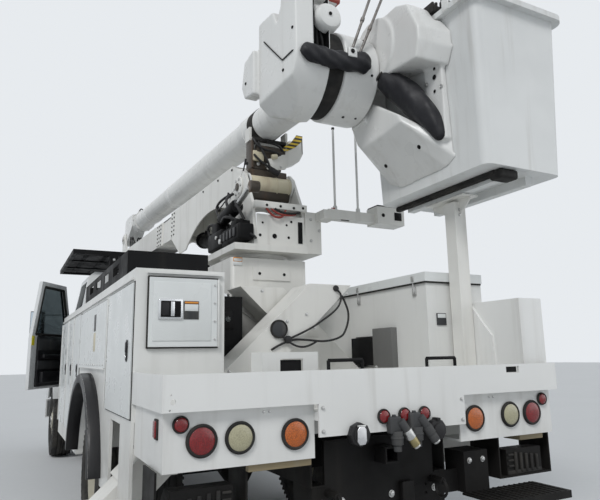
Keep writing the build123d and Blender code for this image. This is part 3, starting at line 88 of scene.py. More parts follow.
class Nodes:
    """A material's node tree, with short calls for the nodes that finishes share."""

    def __init__(self, name: str) -> None:
        """Starts an empty surface.

        Args:
            name: The material's name.
        """
        self.material = bpy.data.materials.new(name)
        self.material.use_nodes = True
        self.tree = self.material.node_tree
        self.shader = self.tree.nodes["Principled BSDF"]

    def add(self, kind: str, **settings: object) -> bpy.types.Node:
        """Adds a node.

        Args:
            kind: The node's type without its ShaderNode prefix.
            **settings: Properties of the node.

        Returns:
            The new node.
        """
        node = self.tree.nodes.new("ShaderNode" + kind)
        for key, value in settings.items():
            setattr(node, key, value)
        return node

    def join(self, source: bpy.types.NodeSocket, target: bpy.types.NodeSocket) -> None:
        """Links two sockets."""
        self.tree.links.new(source, target)

    def where(self, scale: Point = (1, 1, 1), turn: Point = (0, 0, 0),
              move: Point = (0, 0, 0)) -> bpy.types.NodeSocket:
        """Object coordinates through a mapping.

        Args:
            scale: Scale along each axis.
            turn: Rotation in degrees.
            move: Offset in metres.

        Returns:
            The vector socket.
        """
        mapping = self.add("Mapping")
        mapping.inputs["Scale"].default_value = scale
        mapping.inputs["Rotation"].default_value = [math.radians(a) for a in turn]
        mapping.inputs["Location"].default_value = move
        self.join(self.add("TexCoord").outputs["Object"], mapping.inputs["Vector"])
        return mapping.outputs["Vector"]

    def noise(self, scale: float, detail: float = 3.0, stretch: Point = (1, 1, 1),
              rough: float = 0.55, bend: float = 0.0) -> bpy.types.NodeSocket:
        """A noise value.

        Args:
            scale: How many features to a metre.
            detail: Octaves.
            stretch: Scale along each axis before the noise.
            rough: How strong the fine octaves are.
            bend: Distortion.

        Returns:
            The factor socket.
        """
        node = self.add("TexNoise")
        for key, value in (("Scale", scale), ("Detail", detail), ("Roughness", rough), ("Distortion", bend)):
            node.inputs[key].default_value = value
        self.join(self.where(stretch), node.inputs["Vector"])
        return node.outputs["Fac"]

    def steps(self, factor: bpy.types.NodeSocket, low: float, high: float,
              start: float = 0.0, end: float = 1.0) -> bpy.types.NodeSocket:
        """Maps a factor from low..high onto start..end.

        Args:
            factor: What is mapped.
            low: Value that gives start.
            high: Value that gives end.
            start: Result at low.
            end: Result at high.

        Returns:
            The mapped value's socket.
        """
        node = self.add("MapRange", clamp=True, interpolation_type="SMOOTHSTEP")
        for key, value in (("From Min", low), ("From Max", high), ("To Min", start), ("To Max", end)):
            node.inputs[key].default_value = value
        self.join(factor, node.inputs["Value"])
        return node.outputs["Result"]

    def maths(self, work: str, first: bpy.types.NodeSocket | float,
              second: bpy.types.NodeSocket | float = 0.0) -> bpy.types.NodeSocket:
        """One sum on two values.

        Args:
            work: The math node's operation.
            first: A socket or a number.
            second: A socket or a number.

        Returns:
            The result's socket.
        """
        node = self.add("Math", operation=work)
        for index, value in enumerate((first, second)):
            if isinstance(value, bpy.types.NodeSocket):
                self.join(value, node.inputs[index])
            else:
                node.inputs[index].default_value = value
        return node.outputs["Value"]

    def blend(self, factor: bpy.types.NodeSocket, under: bpy.types.NodeSocket | Point,
              over: bpy.types.NodeSocket | Point) -> bpy.types.NodeSocket:
        """Lays one colour over another.

        Args:
            factor: How much of the upper colour shows.
            under: A colour or its socket.
            over: A colour or its socket.

        Returns:
            The mixed colour's socket.
        """
        node = self.add("Mix", data_type="RGBA")
        self.join(factor, node.inputs["Factor"])
        for key, value in (("A", under), ("B", over)):
            socket = [s for s in node.inputs if s.name == key and s.type == "RGBA"][0]
            if isinstance(value, bpy.types.NodeSocket):
                self.join(value, socket)
            else:
                socket.default_value = (*value, 1.0)
        return [s for s in node.outputs if s.type == "RGBA"][0]

    def relief(self, height: bpy.types.NodeSocket, strength: float, depth: float) -> None:
        """Gives the surface a bump.

        Args:
            height: The relief's height.
            strength: How strong it shows.
            depth: Its depth in metres.
        """
        node = self.add("Bump")
        node.inputs["Strength"].default_value = strength
        node.inputs["Distance"].default_value = depth
        self.join(height, node.inputs["Height"])
        self.join(node.outputs["Normal"], self.shader.inputs["Normal"])

    def height(self) -> bpy.types.NodeSocket:
        """Height over the ground in metres."""
        split = self.add("SeparateXYZ")
        self.join(self.add("TexCoord").outputs["Object"], split.inputs["Vector"])
        return split.outputs["Z"]


@dataclass(frozen=True)
class Paint:
    """Sprayed paint or gel coat with rain streaks, rust spots, dust near the road and fine grain.

    Attributes:
        name: Material name.
        colour: Clean colour.
        rough: Roughness of clean paint.
        streaks: How much the rain streaks show.
        rust: How much rust shows.
        dust: How much road dust lies on the lower parts.
        metal: Metallic share.
        grain: Depth of the orange peel.
        tone: How much the colour drifts over a panel.
        coat: Clear coat.
        shine: Specular level.
        dirt: Colour of dust and streaks.
        iron: Colour of rust.
    """

    name: str
    colour: tuple[float, float, float]
    rough: float = 0.38
    streaks: float = 0.35
    rust: float = 0.25
    dust: float = 0.45
    metal: float = 0.0
    grain: float = 0.0004
    tone: float = 0.5
    coat: float = 0.12
    shine: float = 0.5
    dirt: tuple[float, float, float] = (0.30, 0.27, 0.22)
    iron: tuple[float, float, float] = (0.22, 0.085, 0.03)

    def build(self) -> bpy.types.Material:
        """Makes the material.

        Returns:
            The new material.
        """
        n = Nodes(self.name)
        shade = tuple(c * 0.86 for c in self.colour)
        drift = n.steps(n.noise(0.9, 4), 0.35, 0.7, 0.0, self.tone)
        colour = n.blend(drift, self.colour, shade)
        wash = n.steps(n.noise(3.2, 4, (4.0, 4.0, 0.3), 0.5), 0.5, 0.85, 0.0, self.streaks)
        colour = n.blend(wash, colour, self.dirt)
        low = n.steps(n.height(), 1.45, 0.45, 0.0, self.dust)
        film = n.maths("MULTIPLY", low, n.steps(n.noise(2.3, 6), 0.3, 0.7, 0.35, 1.0))
        colour = n.blend(film, colour, self.dirt)
        spots = n.steps(n.noise(21.0, 6, (1, 1, 0.55), 0.7), 0.69, 0.76, 0.0, self.rust)
        patch = n.steps(n.noise(1.1, 3), 0.48, 0.62)
        spots = n.maths("MULTIPLY", spots, patch)
        colour = n.blend(spots, colour, self.iron)
        n.join(colour, n.shader.inputs["Base Color"])
        n.join(n.steps(n.noise(6.0, 5), 0.3, 0.75, self.rough - 0.06, self.rough + 0.2),
               n.shader.inputs["Roughness"])
        n.shader.inputs["Metallic"].default_value = self.metal
        n.shader.inputs["Coat Weight"].default_value = self.coat
        n.shader.inputs["Specular IOR Level"].default_value = self.shine
        n.shader.inputs["Coat Roughness"].default_value = 0.2
        n.relief(n.noise(160.0, 2), 0.25, self.grain)
        return n.material


@dataclass(frozen=True)
class Rubber:
    """Moulded rubber with grey dust and scuffs."""

    name: str
    colour: tuple[float, float, float] = (0.018, 0.0175, 0.017)
    dust: float = 0.4
    rough: float = 0.78

    def build(self) -> bpy.types.Material:
        """Makes the material.

        Returns:
            The new material.
        """
        n = Nodes(self.name)
        film = n.steps(n.noise(7.0, 6), 0.38, 0.75, 0.0, self.dust)
        colour = n.blend(film, self.colour, (0.11, 0.10, 0.085))
        n.join(colour, n.shader.inputs["Base Color"])
        n.join(n.steps(n.noise(22.0, 4), 0.3, 0.7, self.rough - 0.08, self.rough + 0.12),
               n.shader.inputs["Roughness"])
        n.shader.inputs["Specular IOR Level"].default_value = 0.3
        n.relief(n.noise(240.0, 3), 0.4, 0.0006)
        return n.material


@dataclass(frozen=True)
class Metal:
    """Bare or plated metal with brushing, stains and dull patches."""

    name: str
    colour: tuple[float, float, float]
    rough: float = 0.3
    stain: tuple[float, float, float] = (0.2, 0.12, 0.07)
    stained: float = 0.3
    brushed: tuple[float, float, float] = (1.0, 1.0, 1.0)

    def build(self) -> bpy.types.Material:
        """Makes the material.

        Returns:
            The new material.
        """
        n = Nodes(self.name)
        patch = n.steps(n.noise(9.0, 6), 0.55, 0.78, 0.0, self.stained)
        n.join(n.blend(patch, self.colour, self.stain), n.shader.inputs["Base Color"])
        n.shader.inputs["Metallic"].default_value = 0.95
        n.join(n.steps(n.noise(30.0, 5, self.brushed), 0.3, 0.75, self.rough * 0.7, self.rough + 0.25),
               n.shader.inputs["Roughness"])
        n.relief(n.noise(90.0, 3, self.brushed), 0.2, 0.0004)
        return n.material


@dataclass(frozen=True)
class Glass:
    """Tinted safety glass with a little dust."""

    name: str
    colour: tuple[float, float, float] = (0.55, 0.63, 0.62)
    rough: float = 0.03

    def build(self) -> bpy.types.Material:
        """Makes the material.

        Returns:
            The new material.
        """
        n = Nodes(self.name)
        n.join(n.blend(n.steps(n.noise(5.0, 4), 0.5, 0.9, 0.0, 0.2), self.colour,
                       tuple(c * 0.6 for c in self.colour)), n.shader.inputs["Base Color"])
        n.join(n.steps(n.noise(12.0, 4), 0.4, 0.8, self.rough, self.rough + 0.12),
               n.shader.inputs["Roughness"])
        n.shader.inputs["Transmission Weight"].default_value = 0.92
        n.shader.inputs["IOR"].default_value = 1.45
        return n.material


@dataclass(frozen=True)
class Lens:
    """A moulded lamp lens: clear coloured plastic over a ribbed back."""

    name: str
    colour: tuple[float, float, float]
    dark: float = 0.55

    def build(self) -> bpy.types.Material:
        """Makes the material.

        Returns:
            The new material.
        """
        n = Nodes(self.name)
        cell = n.add("TexVoronoi")
        cell.inputs["Scale"].default_value = 190.0
        n.join(n.where(), cell.inputs["Vector"])
        dark = tuple(c * self.dark for c in self.colour)
        n.join(n.blend(n.steps(cell.outputs["Distance"], 0.15, 0.75), self.colour, dark),
               n.shader.inputs["Base Color"])
        n.join(n.steps(n.noise(40.0), 0.3, 0.8, 0.1, 0.3), n.shader.inputs["Roughness"])
        n.shader.inputs["Coat Weight"].default_value = 0.45
        n.shader.inputs["Coat Roughness"].default_value = 0.06
        n.relief(cell.outputs["Distance"], 0.35, 0.0015)
        return n.material


@dataclass(frozen=True)
class Stripes:
    """Two-colour slanted warning bands, scuffed."""

    name: str
    light: tuple[float, float, float] = (0.78, 0.55, 0.05)
    dark: tuple[float, float, float] = (0.03, 0.03, 0.03)
    pitch: float = 9.0
    turn: tuple[float, float, float] = (0.0, 0.0, 0.0)

    def build(self) -> bpy.types.Material:
        """Makes the material.

        Returns:
            The new material.
        """
        n = Nodes(self.name)
        wave = n.add("TexWave", wave_type="BANDS", bands_direction="Z")
        wave.inputs["Scale"].default_value = self.pitch
        wave.inputs["Distortion"].default_value = 0.0
        n.join(n.where((1, 1, 1), self.turn), wave.inputs["Vector"])
        colour = n.blend(n.steps(wave.outputs["Fac"], 0.48, 0.52), self.light, self.dark)
        worn = n.steps(n.noise(26.0, 6), 0.58, 0.7, 0.0, 0.7)
        n.join(n.blend(worn, colour, (0.45, 0.42, 0.36)), n.shader.inputs["Base Color"])
        n.join(n.steps(n.noise(18.0), 0.3, 0.8, 0.4, 0.7), n.shader.inputs["Roughness"])
        n.relief(n.noise(90.0), 0.3, 0.0006)
        return n.material


@dataclass(frozen=True)
class Vinyl:
    """Coated cloth with a fine grain and soft creases."""

    name: str
    colour: tuple[float, float, float] = (0.010, 0.010, 0.013)
    worn: tuple[float, float, float] = (0.045, 0.045, 0.047)
    crease: float = 0.009

    def build(self) -> bpy.types.Material:
        """Makes the material.

        Returns:
            The new material.
        """
        n = Nodes(self.name)
        faded = n.steps(n.noise(6.0, 6), 0.5, 0.8, 0.0, 0.5)
        n.join(n.blend(faded, self.colour, self.worn), n.shader.inputs["Base Color"])
        n.join(n.steps(n.noise(14.0, 4), 0.3, 0.7, 0.38, 0.62), n.shader.inputs["Roughness"])
        n.shader.inputs["Sheen Weight"].default_value = 0.04
        n.shader.inputs["Specular IOR Level"].default_value = 0.3
        folds = n.noise(11.0, 3, (1.6, 1.0, 0.7), 0.5, 0.8)
        grain = n.maths("MULTIPLY", n.noise(420.0, 2), 0.12)
        n.relief(n.maths("ADD", folds, grain), 0.55, self.crease)
        return n.material


@dataclass(frozen=True)
class Floor:
    """Plain pale ground that shows the same pale tone as the backdrop."""

    name: str
    colour: tuple[float, float, float] = (0.62, 0.63, 0.635)

    def build(self) -> bpy.types.Material:
        """Makes the material.

        Returns:
            The new material.
        """
        n = Nodes(self.name)
        n.join(n.blend(n.steps(n.noise(0.6, 4), 0.35, 0.7, 0.0, 0.25), self.colour,
                       tuple(c * 0.93 for c in self.colour)), n.shader.inputs["Base Color"])
        n.join(n.steps(n.noise(14.0, 4), 0.3, 0.8, 0.7, 0.9), n.shader.inputs["Roughness"])
        return n.material


class Finish(Enum):
    """Every finish on the truck."""

    BODY = Paint("body_paint", (0.80, 0.80, 0.775), rough=0.36, streaks=0.16, rust=0.12, dust=0.4, grain=0.0001)
    DOORS = Paint("door_paint", (0.77, 0.79, 0.78), rough=0.30, streaks=0.04, rust=0.03, dust=0.3, grain=0.0001)
    SHELF = Paint("shelf_paint", (0.82, 0.82, 0.80), rough=0.34, streaks=0.25, rust=0.7, dust=0.3)
    STEEL = Paint("boom_steel_paint", (0.80, 0.79, 0.75), rough=0.38, streaks=0.3, rust=0.8, dust=0.2)
    GEL = Paint("gel_coat", (0.80, 0.80, 0.78), rough=0.30, streaks=0.22, rust=0.0, dust=0.1)
    GEL_DULL = Paint("gel_coat_bucket", (0.76, 0.77, 0.76), rough=0.42, streaks=0.35, rust=0.06, dust=0.1)
    CAB = Paint("cab_paint", (0.78, 0.79, 0.79), rough=0.22, streaks=0.12, rust=0.15, dust=0.5, grain=0.0002)
    CREAM = Paint("pivot_tube_paint", (0.66, 0.60, 0.44), rough=0.45, streaks=0.6, rust=1.0, dust=0.0,
                  dirt=(0.30, 0.17, 0.08))
    RIM = Paint("wheel_paint", (0.62, 0.60, 0.50), rough=0.5, streaks=0.4, rust=0.7, dust=0.5)
    # Colour set darker than black paint: painted shade, since the parts under the body stand in shadow.
    BLACK = Paint("black_chassis_paint_with_shade", (0.006, 0.006, 0.0065), rough=0.55, streaks=0.14, rust=0.4,
                  dust=0.14, coat=0.0, shine=0.16, dirt=(0.07, 0.062, 0.05), iron=(0.09, 0.04, 0.02))
    BLACK_GLOSS = Paint("black_moulding", (0.014, 0.014, 0.016), rough=0.33, streaks=0.15, rust=0.0,
                        dust=0.12, coat=0.0, shine=0.3, dirt=(0.08, 0.072, 0.06))
    RED = Paint("winch_paint", (0.33, 0.045, 0.03), rough=0.5, streaks=0.3, rust=0.8, dust=0.0)
    ORANGE = Paint("orange_plate", (0.80, 0.30, 0.03), rough=0.4, streaks=0.2, rust=0.0, dust=0.0)
    YELLOW = Paint("yellow_plate", (0.78, 0.68, 0.03), rough=0.4, streaks=0.1, rust=0.0, dust=0.0)
    GREASE = Paint("greasy_iron", (0.045, 0.034, 0.024), rough=0.5, streaks=0.6, rust=1.0, dust=0.0,
                   dirt=(0.14, 0.07, 0.03))
    TIMBER = Paint("outrigger_pad_timber", (0.30, 0.23, 0.11), rough=0.75, streaks=0.6, rust=0.3, dust=0.6)
    GREY = Paint("grey_moulding", (0.048, 0.05, 0.053), rough=0.5, streaks=0.2, rust=0.0, dust=0.1,
                 coat=0.0, shine=0.3)
    PANEL = Paint("grey_panel", (0.15, 0.15, 0.145), rough=0.5, streaks=0.3, rust=0.1, dust=0.0)
    TYRE = Rubber("tyre_rubber_worn")
    RUBBER = Rubber("black_seal", dust=0.25)
    HOSE = Rubber("hose_cover", (0.02, 0.02, 0.021), dust=0.12, rough=0.5)
    RED_HOSE = Rubber("red_hose_cover", (0.30, 0.05, 0.04), dust=0.15, rough=0.5)
    CHROME = Metal("polished_rod", (0.72, 0.73, 0.74), 0.12, stained=0.15)
    MIRROR = Metal("mirror_glass", (0.55, 0.62, 0.68), 0.03, stained=0.05)
    STEEL_BARE = Metal("zinc_plated_steel", (0.55, 0.55, 0.54), 0.32, stained=0.45)
    BRASS = Metal("brass_fittings", (0.34, 0.29, 0.15), 0.4, stained=0.5)
    ALUMINIUM = Metal("brushed_aluminium", (0.68, 0.68, 0.69), 0.35, stained=0.2, brushed=(1, 9, 1))
    IRON = Metal("cast_engine_iron", (0.20, 0.19, 0.18), 0.6, stained=0.7)
    GLASS = Glass("cab_glass_tint", (0.42, 0.50, 0.50))
    # Near-black door glass: painted shade for the dark scene seen in and through it, far darker than any tint.
    DOOR_GLASS = Glass("door_glass_painted_shade", (0.06, 0.075, 0.08))
    RED_LENS = Lens("red_lens", (0.27, 0.005, 0.008))
    AMBER_LENS = Lens("amber_lens", (0.62, 0.14, 0.012))
    CLEAR_LENS = Lens("clear_lens", (0.46, 0.43, 0.28), 0.78)
    HAZARD = Stripes("hazard_bands")
    VINYL = Vinyl("black_cover_cloth")
    SEAT = Vinyl("seat_vinyl", (0.09, 0.09, 0.10), (0.16, 0.16, 0.16), 0.003)

    def material(self) -> bpy.types.Material:
        """The finish's material, made once.

        Returns:
            The material.
        """
        found = bpy.data.materials.get(self.value.name)
        return found or self.value.build()


# ---------------------------------------------------------------- mesh making

class Form:
    """One piece while it is made: a bmesh in the part's millimetres, measured from the tail."""

    def __init__(self, name: str, finish: Finish) -> None:
        """Starts an empty piece.

        Args:
            name: The piece's name.
            finish: The first finish on it.
        """
        self.name = name
        self.mesh = bmesh.new()
        self.finishes = [finish]
        self.index = 0

    def use(self, finish: Finish) -> "Form":
        """Gives what is made next another finish.

        Args:
            finish: The finish from here on.

        Returns:
            This piece.
        """
        if finish not in self.finishes:
            self.finishes.append(finish)
        self.index = self.finishes.index(finish)
        return self

    def _keep(self, faces: Iterable[bmesh.types.BMFace]) -> None:
        """Marks new faces with the finish in use."""
        for face in faces:
            face.material_index = self.index

    def _absorb(self, part: bmesh.types.BMesh, bevel: float = 0.0, segments: int = 2,
                angle: float = 30.0) -> None:
        """Rounds a small mesh's sharp edges and takes it into the piece.

        Args:
            part: The mesh, which is freed.
            bevel: Width of the rounding.
            segments: Steps of the rounding.
            angle: Sharpest fold, in degrees, that stays as it is.
        """
        bmesh.ops.recalc_face_normals(part, faces=part.faces[:])
        if bevel > 0:
            sharp = [e for e in part.edges
                     if len(e.link_faces) == 2 and e.calc_face_angle(0.0) > math.radians(angle)]
            bmesh.ops.bevel(part, geom=sharp, offset=bevel, offset_type="OFFSET", affect="EDGES",
                            segments=segments, profile=0.5, material=-1, clamp_overlap=True)
        for face in part.faces:
            face.material_index = self.index
        keep = bpy.data.meshes.new("part")
        part.to_mesh(keep)
        part.free()
        self.mesh.from_mesh(keep)
        bpy.data.meshes.remove(keep)

    def box(self, low: Point, high: Point, bevel: float = 3.0, segments: int = 2,
            turn: Matrix | None = None) -> "Form":
        """A box between two corners with rounded edges.

        Args:
            low: Lowest corner.
            high: Highest corner.
            bevel: Width of the rounding.
            segments: Steps of the rounding.
            turn: A transform for the finished box.

        Returns:
            This piece.
        """
        part = bmesh.new()
        bmesh.ops.create_cube(part, size=1.0)
        size = Vector(high) - Vector(low)
        bmesh.ops.scale(part, vec=size, verts=part.verts[:])
        bmesh.ops.translate(part, vec=(Vector(high) + Vector(low)) / 2, verts=part.verts[:])
        if turn is not None:
            bmesh.ops.transform(part, matrix=turn, verts=part.verts[:])
        self._absorb(part, min(bevel, min(abs(s) for s in size) * 0.45), segments)
        return self

    def plate(self, outline: Outline, axis: Axis, start: float, end: float, bevel: float = 3.0,
              segments: int = 2, turn: Matrix | None = None) -> "Form":
        """A flat outline given a thickness.

        Args:
            outline: Corners as (y, z) for X, (x, z) for Y and (x, y) for Z.
            axis: Direction of the thickness.
            start: Where the thickness starts.
            end: Where it ends.
            bevel: Width of the rounding.
            segments: Steps of the rounding.
            turn: A transform for the finished plate.

        Returns:
            This piece.
        """
        part = bmesh.new()
        corners = {Axis.X: lambda a, b: (start, a, b), Axis.Y: lambda a, b: (a, start, b),
                   Axis.Z: lambda a, b: (a, b, start)}[axis]
        verts = [part.verts.new(corners(a, b)) for a, b in outline]
        face = part.faces.new(verts)
        grown = bmesh.ops.extrude_face_region(part, geom=[face])
        shift = [0.0, 0.0, 0.0]
        shift[axis.value] = end - start
        bmesh.ops.translate(part, vec=shift, verts=[v for v in grown["geom"]
                                                    if isinstance(v, bmesh.types.BMVert)])
        if turn is not None:
            bmesh.ops.transform(part, matrix=turn, verts=part.verts[:])
        self._absorb(part, bevel, segments)
        return self

    def bar(self, start: Point, end: Point, radius: float, sides: int = 24, bevel: float = 0.0,
            tip: float | None = None) -> "Form":
        """A round bar or cone between two points.

        Args:
            start: Middle of one end.
            end: Middle of the other end.
            radius: Radius at the start.
            sides: Facets round it.
            bevel: Rounding of its end edges.
            tip: Radius at the end, the same as at the start if left out.

        Returns:
            This piece.
        """
        a, b = Vector(start), Vector(end)
        part = bmesh.new()
        bmesh.ops.create_cone(part, cap_ends=True, segments=sides, radius1=radius,
                              radius2=radius if tip is None else tip, depth=(b - a).length)
        turn = Vector((0, 0, 1)).rotation_difference(b - a).to_matrix().to_4x4()
        bmesh.ops.transform(part, matrix=Matrix.Translation((a + b) / 2) @ turn, verts=part.verts[:])
        self._absorb(part, bevel, 2, 50.0)
        return self

    def lathe(self, profile: Outline, centre: Point, axis: Axis = Axis.X, steps: int = 48) -> "Form":
        """A closed (along, radius) outline spun round an axis.

        Args:
            profile: Points along the axis and out from it.
            centre: A point on the axis.
            axis: The axis.
            steps: Steps of the spin.

        Returns:
            This piece.
        """
        part = bmesh.new()
        along, out = {Axis.X: ((1, 0, 0), (0, 0, 1)), Axis.Y: ((0, 1, 0), (0, 0, 1)),
                      Axis.Z: ((0, 0, 1), (1, 0, 0))}[axis]
        middle = Vector(centre)
        verts = [part.verts.new(middle + Vector(along) * a + Vector(out) * r) for a, r in profile]
        edges = [part.edges.new((a, b)) for a, b in zip(verts, verts[1:] + verts[:1])]
        bmesh.ops.spin(part, geom=verts + edges, cent=middle, axis=along, angle=math.tau,
                       steps=steps, use_merge=True)
        bmesh.ops.remove_doubles(part, verts=part.verts[:], dist=0.01)
        self._absorb(part)
        return self

    def shell(self, sections: Sequence[Sequence[Point]], bevel: float = 0.0, segments: int = 3,
              angle: float = 20.0) -> "Form":
        """A closed form bridged through loops with the same number of corners.

        Args:
            sections: The loops, each a list of points.
            bevel: Rounding of its sharp edges.
            segments: Steps of the rounding.
            angle: Sharpest fold, in degrees, that stays as it is.

        Returns:
            This piece.
        """
        part = bmesh.new()
        loops = []
        for points in sections:
            verts = [part.verts.new(p) for p in points]
            loops.append([part.edges.new((a, b)) for a, b in zip(verts, verts[1:] + verts[:1])])
        for first, second in zip(loops, loops[1:]):
            bmesh.ops.bridge_loops(part, edges=first + second)
        bmesh.ops.holes_fill(part, edges=part.edges[:])
        self._absorb(part, bevel, segments, angle)
        return self

    def pipe(self, points: Sequence[Point], radius: float, sides: int = 10, smooth: bool = True) -> "Form":
        """A bent pipe that follows a smooth line through control points.

        Args:
            points: Control points.
            radius: The pipe's radius.
            sides: Facets round it.
            smooth: Whether the line is rounded, or runs straight from point to point.

        Returns:
            This piece.
        """
        curve = bpy.data.curves.new("pipe", "CURVE")
        curve.dimensions = "3D"
        curve.bevel_depth = radius
        curve.bevel_resolution = max(1, sides // 4)
        curve.resolution_u = 8 if smooth else 1
        curve.use_fill_caps = True
        spline = curve.splines.new("NURBS" if smooth else "POLY")
        spline.points.add(len(points) - 1)
        for spot, p in zip(spline.points, points):
            spot.co = (*p, 1.0)
        if smooth:
            spline.order_u = 3
            spline.use_endpoint_u = True
        holder = bpy.data.objects.new("pipe", curve)
        bpy.context.scene.collection.objects.link(holder)
        made = bpy.data.meshes.new_from_object(holder)
        part = bmesh.new()
        part.from_mesh(made)
        bpy.data.objects.remove(holder)
        bpy.data.curves.remove(curve)
        bpy.data.meshes.remove(made)
        bmesh.ops.remove_doubles(part, verts=part.verts[:], dist=0.01)
        self._absorb(part)
        return self

    def sleeve(self, line: Sequence[Sequence[float]], flat: float = 0.8, crease: float = 0.07) -> "Form":
        """A creased hollow-looking roll along a line of (x, y, z, radius).

        Args:
            line: Middle points and radii.
            flat: How much narrower it is across than it is high.
            crease: How deep the creases are, as a share of the radius.

        Returns:
            This piece.
        """
        sections = []
        for k, (x, y, z, r) in enumerate(line):
            a, b = Vector(line[max(k - 1, 0)][:3]), Vector(line[min(k + 1, len(line) - 1)][:3])
            ahead = (b - a).normalized()
            side = ahead.cross(Vector((0, 0, 1))).normalized()
            up = side.cross(ahead)
            loop = []
            for i in range(28):
                t = math.tau * i / 28
                swell = r * (1 + crease * math.sin(5 * t + 1.7 * k) + crease * 0.7 * math.sin(3 * t - 2.4 * k))
                loop.append(tuple(Vector((x, y, z)) + side * swell * math.cos(t) * flat + up * swell * math.sin(t)))
            sections.append(loop)
        return self.shell(sections)

    def bolt(self, centre: Point, direction: Point, size: float = 9.0, height: float = 6.0) -> "Form":
        """A hexagon head on its washer.

        Args:
            centre: Middle of the seat.
            direction: Outward direction.
            size: Radius of the head.
            height: Height of the head.

        Returns:
            This piece.
        """
        c, d = Vector(centre), Vector(direction).normalized()
        self.bar(c - d * 1.0, c + d * 1.8, size * 1.35, 16)
        self.bar(c + d * 1.5, c + d * (1.8 + height), size, 6, 1.0)
        return self

    def mirror(self) -> "Form":
        """Adds the same form on the other side of the truck.

        Returns:
            This piece.
        """
        copy = self.mesh.copy()
        bmesh.ops.scale(copy, vec=(-1, 1, 1), verts=copy.verts[:])
        bmesh.ops.reverse_faces(copy, faces=copy.faces[:])
        keep = bpy.data.meshes.new("part")
        copy.to_mesh(keep)
        copy.free()
        self.mesh.from_mesh(keep)
        bpy.data.meshes.remove(keep)
        return self

    def done(self, body: str, slot: str, replaces: Sequence[str] = (), smooth: float = 35.0,
             turn: Matrix | None = None) -> bpy.types.Object:
        """Makes the object, places it in the frame and rides it on its body.

        Args:
            body: The CAD body it moves with.
            slot: The record's material slot; not used.
            replaces: CAD nodes that it stands for.
            smooth: Sharpest fold, in degrees, that is shaded smooth.
            turn: A transform in the part's millimetres for the whole piece.

        Returns:
            The object.
        """
        if turn is not None:
            bmesh.ops.transform(self.mesh, matrix=turn, verts=self.mesh.verts[:])
        bmesh.ops.scale(self.mesh, vec=(0.001, 0.001, 0.001), verts=self.mesh.verts[:])
        bmesh.ops.translate(self.mesh, vec=(0, -MIDDLE / 1000, 0), verts=self.mesh.verts[:])
        data = bpy.data.meshes.new(self.name)
        self.mesh.to_mesh(data)
        self.mesh.free()
        data.shade_smooth()
        data.set_sharp_from_angle(angle=math.radians(smooth))
        for finish in self.finishes:
            data.materials.append(finish.material())
        piece = bpy.data.objects.new(self.name, data)
        bpy.context.scene.collection.objects.link(piece)
        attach(piece, body)
        if replaces:
            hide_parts(*replaces)
        LOG.info("%s: %d faces on %s", self.name, len(data.polygons), body)
        return piece


@dataclass
class Assembly:
    """A part of the truck that dresses some CAD nodes and adds pieces."""

    def dress(self, finish: Finish, *nodes: str, edge: float = 0.0) -> None:
        """Gives CAD nodes a finish and, where asked, a soft edge.

        Args:
            finish: The finish.
            *nodes: Names of the CAD nodes.
            edge: Width of the edge rounding in millimetres.
        """
        for name in nodes:
            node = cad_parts[name]
            node.data.materials.clear()
            node.data.materials.append(finish.material())
            if edge > 0:
                weld = node.modifiers.new("weld", "WELD")
                weld.merge_threshold = 0.00002
                soft = node.modifiers.new("edge", "BEVEL")
                soft.width = edge / 1000
                soft.segments = 2
                soft.limit_method = "ANGLE"
                soft.angle_limit = math.radians(40)
                soft.harden_normals = True

    def moulded(self, name: str, node: str, body: str, voxel: float = 7.0, rounds: int = 9) -> None:
        """Replaces a sharp-edged CAD cover with the same cover as a soft-edged moulding.

        Args:
            name: The new piece's name.
            node: The CAD node, which the piece stands for.
            body: The body it rides on.
            voxel: Size of the moulding's mesh in millimetres.
            rounds: How often the mesh is smoothed.
        """
        piece = bpy.data.objects.new(name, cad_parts[node].data.copy())
        bpy.context.scene.collection.objects.link(piece)
        weld = piece.modifiers.new("weld", "WELD")
        weld.merge_threshold = 0.00002
        cut = piece.modifiers.new("cut", "REMESH")
        cut.mode, cut.voxel_size = "VOXEL", voxel / 1000
        piece.data = bpy.data.meshes.new_from_object(piece.evaluated_get(bpy.context.evaluated_depsgraph_get()))
        piece.modifiers.clear()
        soft = bmesh.new()
        soft.from_mesh(piece.data)
        for _ in range(rounds):
            bmesh.ops.smooth_vert(soft, verts=soft.verts[:], factor=0.5, use_axis_x=True, use_axis_y=True,
                                  use_axis_z=True)
        soft.to_mesh(piece.data)
        soft.free()
        piece.data.shade_smooth()
        piece.data.materials.clear()
        piece.data.materials.append(Finish.GEL.material())
        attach(piece, body)
        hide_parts(node)
        LOG.info("%s: %d faces on %s", name, len(piece.data.polygons), body)

    def build(self) -> None:
        """Makes the pieces."""


# ---------------------------------------------------------------- stage

